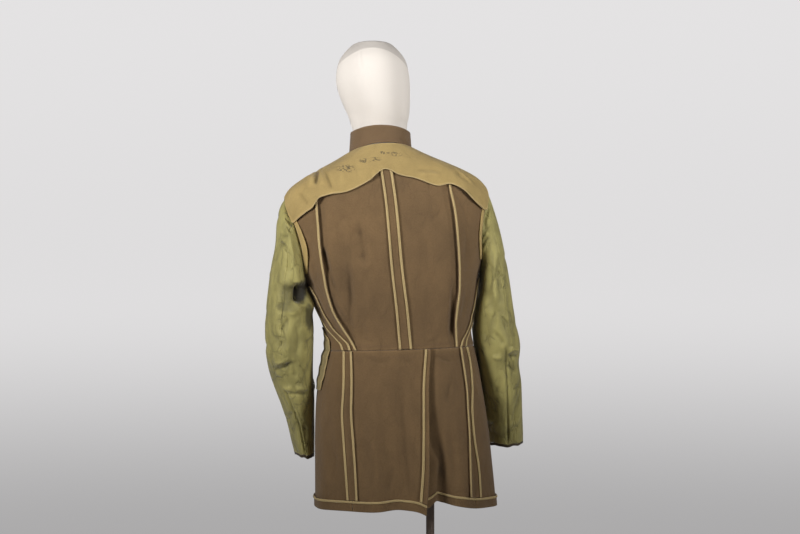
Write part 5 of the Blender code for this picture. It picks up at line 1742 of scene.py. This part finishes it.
def make_skirt_front(room, side, word):
    """A front below the waist, and its hem, which stops short of the other front's lap."""

    def edges(row):
        height = skirt_height(row)
        first = slide(getattr(side_skirt_at(row), word), height, side * SEAM_GAP / 2)
        return left_to_right(side, first, front_edge(side, height))

    def hem_edges(row):
        first, last = edges(row)
        if side > 0:
            last = slide(np.full(row.shape, 180.0), skirt_height(row), -FRONT_LAP - 2 * SEAM_GAP)
        return first, last

    rows = skirt_rows(COARSE)
    angles = angles_across(edges(rows), SKIRT_FRONT_CELLS)
    points = laid(*SKIRTS[side], FRONT_LIFTS[side])(angles, rows[:, None])
    piece = room.cloth(f"skirt_front_{word}", points, WOOL, "wool")
    room.declare(piece, "hung", ["dress_form_cover"])
    make_hem(room, f"front_{word}", side, hem_edges, SKIRT_FRONT_CELLS, FRONT_LIFTS[side], piece)


def make_hem(room, word, side, edges, cells, lift, panel):
    """The turned-up hem of a skirt piece, round its fold, and the tape over its top edge."""

    def hem_cloth(out, rows):
        return laid(*SKIRTS[side], raised(lift, out))(angles_across(edges(rows), cells), rows[:, None])

    base = layer(0.0, WOOL)
    points = hem_cloth(base, skirt_rows(FINE, 0.0, HEM_ROW))
    outer = hem_cloth(base, np.zeros(1))[0]
    inner = hem_cloth(-WOOL, np.zeros(1))[0]
    upward = unit(points[1] - points[0])
    turns = np.radians(np.linspace(180.0, 0.0, HEM_FOLD_CELLS + 1))[:-1, None, None]
    reach = (outer - inner) / 2
    fold = (outer + inner) / 2 + reach * np.cos(turns) - upward * length(reach)[:, None] * np.sin(turns)
    hem = room.cloth(f"hem_{word}", np.concatenate([fold, points]), WOOL, "wool")
    tape_rows = spread(HEM_ROW - TAPE_WIDTH / (WAIST - HEM), HEM_ROW, TAPE_CELLS, 1)
    points = hem_cloth(layer(base, BINDING) + CROWN[:, None], tape_rows)
    tape = room.cloth(f"hem_tape_{word}", points, BINDING, "binding_tape")
    room.sew(points[TAPE_CELLS // 2])
    room.declare(hem, "folded", [panel], [tape])


def make_skirt_back_left(room):
    """The left skirt back, which lies on top at the vent, and its hem."""

    def edges(row):
        first = slide(side_skirt_at(row).left, skirt_height(row), SEAM_GAP / 2)
        return first, vent_at(row).angle

    rows = skirt_rows(FINE)
    points = laid(*SKIRTS[-1])(angles_across(edges(rows), SKIRT_BACK_CELLS), rows[:, None])
    left = room.cloth("skirt_back_left", points, WOOL, "wool")
    room.declare(left, "hung", ["dress_form_cover"])
    make_hem(room, "back_left", -1, edges, SKIRT_BACK_CELLS, 0.0, left)
    return left


def make_skirt_back_right(room):
    """The right skirt back, which drops under the left one at the vent, and its hem."""

    def drop(angle, row):
        depth = UNDERLAP_DROP + UNDERLAP_HEM_DROP * (1 - row)
        return -depth * (1 - ease((angle - vent_at(row).angle) / UNDERLAP_SPAN))

    def past_vent(row):
        end = slide(side_skirt_at(row).right, skirt_height(row), -SEAM_GAP / 2)
        return vent_at(row).angle + UNDERLAP_HEM_START, end

    rows = skirt_rows(FINE)
    stations = [np.full(rows.shape, UNDERLAP_EDGE), *past_vent(rows)]
    points = laid(*SKIRTS[1], drop)(angles_across(stations, *UNDERLAP_CELLS), rows[:, None])
    right = room.cloth("skirt_back_right", points, WOOL, "wool")
    room.declare(right, "hung", ["dress_form_cover"])
    make_hem(room, "back_right", 1, past_vent, UNDERLAP_HEM_CELLS, drop, right)


def make_vent_turn_back(room, left):
    """The turn-back along the vent's edge on the left skirt back, and its tape."""
    rows = skirt_rows(FINE, *STRIP_ROWS)
    edge = vent_at(rows).angle
    turn = slide(edge, skirt_height(rows), -VENT_TURN)
    base = layer(0.0, WOOL)
    points = laid(*SKIRTS[-1], base)(angles_across([turn, edge], TURN_BACK_CELLS), rows[:, None])
    turn_back = room.cloth("vent_turn_back", points, WOOL, "wool")
    inner = slide(turn, skirt_height(rows), TAPE_WIDTH)
    tape = make_tape(room, "vent_tape", *SKIRTS[-1], rows, turn, inner, layer(base, BINDING))
    room.declare(turn_back, "folded", [left], [tape])


def make_seam(room, name, surface, creases, rows, heights, centre, half, panel, lift=SEAM_RISE):
    """A pressed-open seam: its allowances in one strip, and a bound tape on each edge."""
    first, last = slide(centre, heights, -half), slide(centre, heights, half)
    base = layer(0.0, COTTON)
    angles = angles_across([first, centre, last], SEAM_CELLS, SEAM_CELLS)
    rise = lift * np.abs(np.linspace(-1.0, 1.0, 2 * SEAM_CELLS + 1))
    points = laid(surface, creases, base + rise)(angles, rows[:, None])
    strip = room.cloth(f"{name}_allowance", points, COTTON, "wool")
    inner = lift * (1 - TAPE_WIDTH / half)[:, None]
    slope = inner + (lift - inner) * np.linspace(0.0, 1.0, TAPE_CELLS + 1)
    top = layer(base, BINDING)
    pairs = (
        (first, slide(first, heights, TAPE_WIDTH), top + slope[:, ::-1]),
        (slide(last, heights, -TAPE_WIDTH), last, top + slope),
    )
    tapes = [
        make_tape(room, f"{name}_tape_{number}", surface, creases, rows, *pair)
        for number, pair in enumerate(pairs, 1)
    ]
    room.declare(strip, "folded", [panel], tapes)


def make_centre_seam(room):
    """The seam at the centre back, from the waist to just under the yoke."""
    low = WAIST + WAIST_CLEAR
    top = float(yoke_edge_at(0.0).height) + 2 * UNDER_YOKE
    rows = spread(low, top, top - low, FINE)
    half = np.full(rows.shape, CENTRE_ALLOWANCE / 2)
    panel = "upper_back_left_cloth"
    make_seam(room, "centre_back", upper, BACK_CREASES, rows, rows, centre_angle(rows), half, panel)


def make_side_seam(room, side, word):
    """A side seam above and below the waist."""
    low = WAIST + WAIST_CLEAR
    rows = spread(low, SIDE_SEAM_TOP, UNDERARM - low, FINE)
    seam = side_upper_at(rows)
    line = (rows, rows, getattr(seam, word), getattr(seam, word + "_half"))
    make_seam(room, f"side_upper_{word}", upper, SIDE_BACK_CREASES, *line, f"side_back_{word}_cloth")
    rows = skirt_rows(FINE, *STRIP_ROWS)
    seam = side_skirt_at(rows)
    line = (rows, skirt_height(rows), getattr(seam, word), getattr(seam, word + "_half"))
    panel = f"skirt_back_{word}_cloth"
    make_seam(room, f"side_skirt_{word}", *SKIRTS[side], *line, panel, SIDE_RISE[side])


def yoke_low(angle):
    """Lower edge of the yoke: across the back, then along the armhole and over the shoulder."""
    low = np.empty(angle.shape)
    away = np.abs(angle)
    for side, _word in SIDES:
        mine = angle < 0 if side < 0 else angle >= 0
        round_back, back_height = armhole_edge(side, ARMHOLE_BACK)
        round_front, front_height = armhole_edge(side, ARMHOLE_FRONT)
        behind = np.interp(away, np.abs(round_back), back_height, left=0.0)
        behind = np.maximum(behind, yoke_edge_at(angle).height)
        ahead = np.interp(away, np.abs(round_front), front_height)
        ahead = np.maximum(ahead, YOKE_FRONT_LOW)
        low = np.where(mine, np.where(away <= 90.0, behind, ahead), low)
    return low


def make_yoke(room):
    """The free-hanging shoulder yoke, with a rolled edge and a row of stitches across the back."""
    angles = np.linspace(-YOKE_END, YOKE_END, YOKE_COLUMNS)
    shares = np.linspace(0.0, 1.0, YOKE_ROWS)[:, None]
    low = yoke_low(angles) + YOKE_CLEAR
    heights = low + (YOKE_TOP - low) * shares
    flare = yoke_flare_at(np.clip(angles, -YOKE_FLARE_END, YOKE_FLARE_END)).out
    flare = flare * (1 - ease((np.abs(angles) - YOKE_FLARE_END) / YOKE_FLARE_FADE))
    out = YOKE_STAND + flare * (1 - shares) ** 2
    points = laid(upper, YOKE_CREASES, out)(angles, heights)
    yoke = room.cloth("shoulder_yoke", points, COTTON, "yoke_cotton")
    edge, row, line = points[:3, np.abs(angles) < YOKE_FLARE_END]
    roll = room.bound_edge("yoke_rolled_edge", edge + unit(row - edge) * YOKE_ROLL, YOKE_ROLL)
    room.sew(line + STITCH_RISE * unit(np.cross(line - row, RIGHT)))
    room.declare(yoke, "draped", ["upper_back_left_cloth", "upper_back_right_cloth"], [roll])


def make_collar(room):
    """The stand collar, from the neck seam up to a ring round the neck."""
    top = COLLAR_TOP
    angles = spread(-COLLAR_END, COLLAR_END, COLLAR_LENGTH, FINE)
    shares = np.linspace(0.0, 1.0, COLLAR_ROWS)[:, None]
    sine, cosine = turned(angles)
    behind = cosine > 0
    low = body_point(angles, np.full(angles.shape, NECK)) + COLLAR_CLEAR * UP
    across_x = top.half_width * squarer(sine)
    along_y = -np.where(behind, top.back, top.front) * squarer(cosine)
    end_rise = np.where(behind, top.rise_back, top.rise_front)
    rise = top.rise_side + (end_rise - top.rise_side) * cosine * cosine
    rise = rise + across_x * math.tan(math.radians(top.tilt))
    high = points_of(SECTIONS[-1].centre_x + across_x, along_y, low[:, 2] + rise)
    points = low + (high - low) * shares[..., None]
    normals = unit(np.cross(np.gradient(points, axis=1), np.gradient(points, axis=0)))
    points = points + normals * crease_rise(COLLAR_CREASES, points, normals)[..., None]
    collar = room.cloth("stand_collar", points, WOOL, "collar_wool")
    for row in (1, -2):
        room.sew(points[row] + normals[row] * STITCH_RISE, "brown_thread")
    room.declare(collar, "stretched", ["dress_form_cover"])


def slit_drop(side):
    """How far a sleeve's open seam is pressed in, as a lift by turn and row."""
    slit_at = smooth_curve(SLEEVE_SLIT[side])
    first, last = SLEEVE_SLIT[side][0].row, SLEEVE_SLIT[side][-1].row

    def lift(turn, row):
        away = np.abs(turn - slit_at(row).turn) * GIRTH_STEP
        inside = ease((row - first) / SLIT_START_FADE) * ease((last - row) / SLIT_END_FADE)
        return -SLIT_DEPTH * inside * np.exp(-((away / SLIT_WIDTH) ** 2))

    return lift


def make_sleeve(room, side, word):
    """A sleeve's lining in two halves, and the shell's edge past it at the cuff."""
    surface, creases = sleeve_surface(side), SLEEVE_CREASES[side]
    mirrored = side > 0
    spans = {
        "top_sleeve": (SLEEVE_BACK_SEAM, SLEEVE_FRONT_SEAM),
        "under_sleeve": (SLEEVE_FRONT_SEAM - 360.0, SLEEVE_BACK_SEAM),
    }
    rows = spread(SLEEVE_FIRST, SLEEVE_LAST, SLEEVE_LENGTH, SLEEVE_CELL)
    halves = []
    for piece, (first, last) in spans.items():
        distance = (last - first) * GIRTH_STEP
        turns = spread(first + SLEEVE_PART, last - SLEEVE_PART, distance, SLEEVE_CELL)
        points = laid(surface, creases, slit_drop(side))(turns, rows[:, None])
        halves.append(room.cloth(f"{piece}_{word}", points, LINING, "sleeve_lining", mirrored=mirrored))
    turns = spread(0.0, 360.0, SLEEVE_GIRTH, FINE)[:-1]
    cuff_rows = spread(CUFF_FIRST, CUFF_LAST, CUFF_CELLS, 1)
    points = laid(surface, creases)(turns, cuff_rows[:, None])
    cuff = room.cloth(f"cuff_edge_{word}", points, WOOL, "cuff_wool", closed=True, mirrored=mirrored)
    room.sew(laid(surface, creases, STITCH_RISE)(turns, np.full(turns.shape, CUFF_STITCH_ROW)))
    room.declare(halves[0], "hung", [f"side_back_{word}_cloth"], [cuff])
    room.declare(halves[1], "hung", [f"side_back_{word}_cloth"])


def make_pocket_bag(room):
    """A cotton pocket bag on the left front, across the waist seam."""
    heights = spread(POCKET_REAR[0].height, POCKET_REAR[-1].height, POCKET_LENGTH, FINE)
    edges = [np.full(heights.shape, POCKET_FRONT), pocket_rear_at(heights).angle]
    angles = angles_across(edges, POCKET_CELLS)
    rows = np.broadcast_to(heights[:, None], angles.shape)
    out = np.full(rows.shape, POCKET_OUT)
    for wave in POCKET_WAVES:
        out += wave.out * np.exp(-(((rows - wave.height) / wave.spread) ** 2))
    on_upper = laid(upper, FRONT_CREASES, out)(angles, np.maximum(rows, WAIST))
    skirt_row = (np.minimum(rows, WAIST) - HEM) / (WAIST - HEM)
    on_skirt = laid(*SKIRTS[-1], out)(angles, skirt_row)
    points = np.where((rows > WAIST)[..., None], on_upper, on_skirt)
    # Its finish is its olive cotton painted darker as shade
    bag = room.cloth("pocket_bag_left", points, COTTON, "pocket_cotton", slot="yoke_cotton")
    binding = room.bound_edge("pocket_bound_edge", points[:, -1], POCKET_BINDING)
    room.declare(bag, "hung", ["upper_front_left_cloth"], [binding])


def form_rings():
    """Rings of points up the form: its flat underside, its torso inside the cloth, and its head."""
    angles = np.linspace(-180.0, 180.0, FORM_COLUMNS, endpoint=False)
    lowest = FORM_INSETS[0]
    middle = float(section_at(lowest.height).centre_x)

    def torso(height, inset):
        heights = np.full(angles.shape, height)
        return body_point(angles, heights) - body.normal(angles, heights) * inset

    rings = []
    edge = torso(lowest.height, lowest.inset)
    for row in FORM_UNDERSIDE:
        ring = edge * row.share + middle * (1 - row.share) * RIGHT
        ring[:, 2] = row.height
        rings.append(ring)
    inset_at = smooth_curve(FORM_INSETS)
    for height in spread(lowest.height, NECK, NECK - lowest.height, FORM_CELL):
        rings.append(torso(height, float(inset_at(height).inset)))
    sine, cosine = turned(angles)
    count = HEAD_STEPS * len(HEAD_SECTIONS)
    steps = smooth_path([[row.height, row.centre_x, row.centre_y] for row in HEAD_SECTIONS], count)
    widths = smooth_path([[row.half_width, row.back, row.front] for row in HEAD_SECTIONS], count)
    for (height, centre_x, centre_y), (half, back, front) in zip(steps, widths):
        depth = np.where(cosine > 0, back, front)
        rings.append(points_of(centre_x + half * sine, centre_y - depth * cosine, height))
    return np.stack(rings)


def make_form(room):
    """Head, neck and torso in one smooth closed skin, with the seams of its cover."""
    points = form_rings()
    around = np.roll(points, -1, axis=1) - np.roll(points, 1, axis=1)
    normals = np.cross(around, np.gradient(points, axis=0))
    normals = normals / np.maximum(length(normals), TINY)[..., None]
    points = points + normals * crease_rise(HEAD_SEAMS, points, normals)[..., None]
    mesh = room.mesh("dress_form_cover", points, closed=True)
    clean_mesh(mesh)
    form = add_object("dress_form_cover", mesh, room.finishes["form_cover"])
    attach(form, "root")
    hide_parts("dress_form")


def sew_waist(room, side, word):
    """Two rows of stitches above the waist seam and two below it, across half of the back."""
    end = float(getattr(side_upper_at(WAIST), word))
    above = (upper, BACK_CREASES, 0.0, WAIST_STITCH_HEIGHTS)
    below = (*SKIRTS[side], WAIST_STITCH_STARTS[side], WAIST_STITCH_ROWS)
    for surface, creases, start, rows in (above, below):
        angles = spread(start, end, WAIST_STITCH_LENGTH, FINE)
        for row in rows:
            line = laid(surface, creases, WAIST_STITCH_RISE)(angles, np.full(angles.shape, row))
            room.sew(line, "brown_thread")


# Sizes of the stitches by the names of the tree's inputs, how uneven they are, and their slots
STITCH = {"Pitch": 0.0034, "Stitch length": 0.0027, "Thread": 0.00055}
STITCH_UNEVEN = (0.85, 1.12)
STITCH_SEED = 7
STITCH_BALL = {"Segments": 6, "Rings": 4, "Radius": 0.5}


def stitch_tree():
    """Stitches along a line: rounded threads of one length, a pitch apart, a little uneven."""
    tree = bpy.data.node_groups.new("stitches along a line", "GeometryNodeTree")
    sockets = {"Lines": "Geometry", **dict.fromkeys(STITCH, "Float"), "Material": "Material"}
    for word, kind in sockets.items():
        tree.interface.new_socket(word, in_out="INPUT", socket_type=f"NodeSocket{kind}")
    tree.interface.new_socket("Stitches", in_out="OUTPUT", socket_type="NodeSocketGeometry")
    bench = Bench(tree)
    given = bench.add("NodeGroupInput").outputs
    line = bench.add("GeometryNodeMeshToCurve", {"Mesh": given["Lines"]}).outputs[0]
    places = bench.add("GeometryNodeCurveToPoints", {"Curve": line, "Length": given["Pitch"]}, mode="LENGTH")
    ball = bench.add("GeometryNodeMeshUVSphere", STITCH_BALL).outputs["Mesh"]
    size = bench.add("ShaderNodeCombineXYZ", (given["Thread"], given["Thread"], given["Stitch length"]))
    thread = bench.add("GeometryNodeTransform", {"Geometry": ball, "Scale": size.outputs[0]}).outputs[0]
    low, high = STITCH_UNEVEN
    inputs = {2: low, 3: high, "Seed": STITCH_SEED}
    uneven = bench.add("FunctionNodeRandomValue", inputs, data_type="FLOAT")
    sewn = bench.add(
        "GeometryNodeInstanceOnPoints",
        {
            "Points": places.outputs["Points"],
            "Instance": thread,
            "Rotation": places.outputs["Rotation"],
            "Scale": uneven.outputs[1],
        },
    ).outputs[0]
    real = bench.add("GeometryNodeRealizeInstances", {"Geometry": sewn}).outputs[0]
    done = bench.add("GeometryNodeSetMaterial", {"Geometry": real, "Material": given["Material"]}).outputs[0]
    bench.add("NodeGroupOutput", {0: done})
    return tree


def make_stitches(room):
    """The stitches of each thread, along all the lines that were kept for it."""
    tree = stitch_tree()
    for thread, lines in room.seams.items():
        edges = []
        start = 0
        for line in lines:
            edges += [(start + step, start + step + 1) for step in range(len(line) - 1)]
            start += len(line)
        guide = bpy.data.meshes.new(thread + "_lines")
        guide.from_pydata(np.concatenate(lines).tolist(), edges, [])
        rough = add_object(thread + "_lines", guide)
        modifier = rough.modifiers.new("stitches", "NODES")
        modifier.node_group = tree
        for item in tree.interface.items_tree:
            if item.name in STITCH:
                modifier[item.identifier] = STITCH[item.name]
            elif item.name == "Material":
                modifier[item.identifier] = room.finishes[thread]
        ready = rough.evaluated_get(bpy.context.evaluated_depsgraph_get())
        mesh = bpy.data.meshes.new_from_object(ready)
        mesh.shade_smooth()
        bpy.data.objects.remove(rough, do_unlink=True)
        mesh.name = thread.replace("_thread", "_stitches")
        stitches = add_object(mesh.name, mesh)
        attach(stitches, "root")


def dress_stand(room):
    """The stand's own pieces keep their shape and get their paint."""
    for node in ("stand_pole", "stand_flange", "stand_base"):
        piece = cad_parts[node]
        piece.data.materials.clear()
        piece.data.materials.append(room.finishes["stand_metal"])


# The photo's camera, with the width of its picture at the target
CAMERA_TARGET = np.array([-0.0656, 0.0, 1.21])
CAMERA_DISTANCE = 3.0
CAMERA_AZIMUTH = -7.0
PICTURE_WIDTH = 1.72
SENSOR = 36.0
LENS = CAMERA_DISTANCE / PICTURE_WIDTH * SENSOR

# A pale round floor: the camera sees its glow and the garment doesn't
FLOOR_RADIUS = 3.0
FLOOR_SIDES = 96
FLOOR_HEIGHT = -0.0005
FLOOR_COLOURS = ((0.86, 0.85, 0.85), (0.90, 0.89, 0.89))
FLOOR_ROUGHNESS = 0.8
FLOOR_GLOW = 0.42

# Soft light from both sides and from the front
Lamp = collections.namedtuple("Lamp", "name place target size power beam")
LAMPS = (
    Lamp("left_softbox", (-2.4, -1.7, 1.90), (-0.12, 0.0, 1.70), 0.9, 8.8, 53.0),
    Lamp("right_softbox", (1.9, -2.1, 1.90), (-0.08, 0.0, 1.70), 0.9, 6.6, 53.0),
    Lamp("front_softbox", (0.3, 2.6, 1.9), (-0.1, 0.0, 1.2), 1.6, 20.0, 150.0),
)

# The backdrop's brightness from low to high, its colour, and the share of it that lights the garment
BACKDROP_LOW = (-0.19, -0.02, 0.41, 0.735)
BACKDROP_HIGH = (0.0, 0.19, 0.0, 0.04)
BACKDROP_COLOUR = (1.0, 0.985, 0.99)
FILL_LIGHT = 0.18


def aim(place, target):
    """The turn that points a lamp from its place to a target."""
    return (Vector(target) - Vector(place)).to_track_quat("-Z", "Y").to_euler()


def make_lamps():
    """The soft lamps."""
    for lamp in LAMPS:
        light = bpy.data.lights.new(lamp.name, "AREA")
        light.shape = "DISK"
        light.size = lamp.size
        light.energy = lamp.power
        light.spread = math.radians(lamp.beam)
        thing = add_object(lamp.name, light)
        thing.location = lamp.place
        thing.rotation_euler = aim(lamp.place, lamp.target)


def make_floor():
    """The floor under the stand."""
    sine, cosine = turned(np.linspace(0.0, 360.0, FLOOR_SIDES, endpoint=False))
    rim = points_of(FLOOR_RADIUS * cosine, FLOOR_RADIUS * sine, FLOOR_HEIGHT)
    mesh = bpy.data.meshes.new("studio_floor")
    mesh.from_pydata(rim.tolist(), [], [list(range(len(rim)))])
    material, bench, shader = start_material("pale_floor")
    dark, pale = FLOOR_COLOURS
    tint = bench.mix(bench.noise(bench.place("Object"), *FLOOR_NOISE), colour(*dark), colour(*pale))
    seen = bench.add("ShaderNodeLightPath").outputs["Is Camera Ray"]
    bench.feed(shader.inputs["Base Color"], tint)
    bench.feed(shader.inputs["Emission Color"], tint)
    bench.feed(shader.inputs["Emission Strength"], bench.math("MULTIPLY", seen, FLOOR_GLOW))
    bench.feed(shader.inputs["Roughness"], FLOOR_ROUGHNESS)
    add_object("studio_floor", mesh, material)


def make_backdrop():
    """A grey backdrop, paler towards the top, that also gives a soft even light."""
    world = bpy.data.worlds.new("studio_backdrop")
    world.use_nodes = True
    bench = Bench(world.node_tree)
    height = bench.split(bench.place("Generated"))["Z"]
    level = bench.math("ADD", bench.between(height, *BACKDROP_LOW), bench.between(height, *BACKDROP_HIGH))
    seen = bench.add("ShaderNodeLightPath").outputs["Is Camera Ray"]
    strength = bench.math("MULTIPLY", level, bench.between(seen, 0.0, 1.0, FILL_LIGHT, 1.0))
    shader = world.node_tree.nodes["Background"]
    bench.feed(shader.inputs["Color"], colour(*BACKDROP_COLOUR))
    bench.feed(shader.inputs["Strength"], strength)
    bpy.context.scene.world = world


def make_camera():
    """The camera at the photo's viewing angle, with plain colours."""
    lens = bpy.data.cameras.new("photo_camera")
    lens.sensor_width = SENSOR
    lens.lens = LENS
    lens.dof.use_dof = False
    camera = add_object("photo_camera", lens)
    sine, cosine = turned(CAMERA_AZIMUTH)
    camera.location = CAMERA_TARGET + CAMERA_DISTANCE * np.array([sine, -cosine, 0.0])
    camera.rotation_euler = (math.radians(90.0), 0.0, math.radians(CAMERA_AZIMUTH))
    scene = bpy.context.scene
    scene.camera = camera
    scene.view_settings.view_transform = "Standard"


def make_jacket(room):
    """The jacket's pieces, from the back round to the front, then what lies over them."""
    for side, word in SIDES:
        back = make_upper_back(room, side, word)
        make_side_back(room, side, word, back)
    for side, word in SIDES:
        make_upper_front(room, side, word)
        make_skirt_front(room, side, word)
    left = make_skirt_back_left(room)
    make_skirt_back_right(room)
    make_vent_turn_back(room, left)
    make_centre_seam(room)
    for side, word in SIDES:
        make_side_seam(room, side, word)
    for side, word in SIDES:
        make_sleeve(room, side, word)
    make_collar(room)
    make_yoke(room)
    make_pocket_bag(room)
    for side, word in SIDES:
        sew_waist(room, side, word)
    make_stitches(room)


def main():
    """The form, the jacket on it, the stand under it and the studio round it."""
    room = Workroom()
    make_form(room)
    make_jacket(room)
    dress_stand(room)
    make_lamps()
    make_floor()
    make_backdrop()
    make_camera()


main()
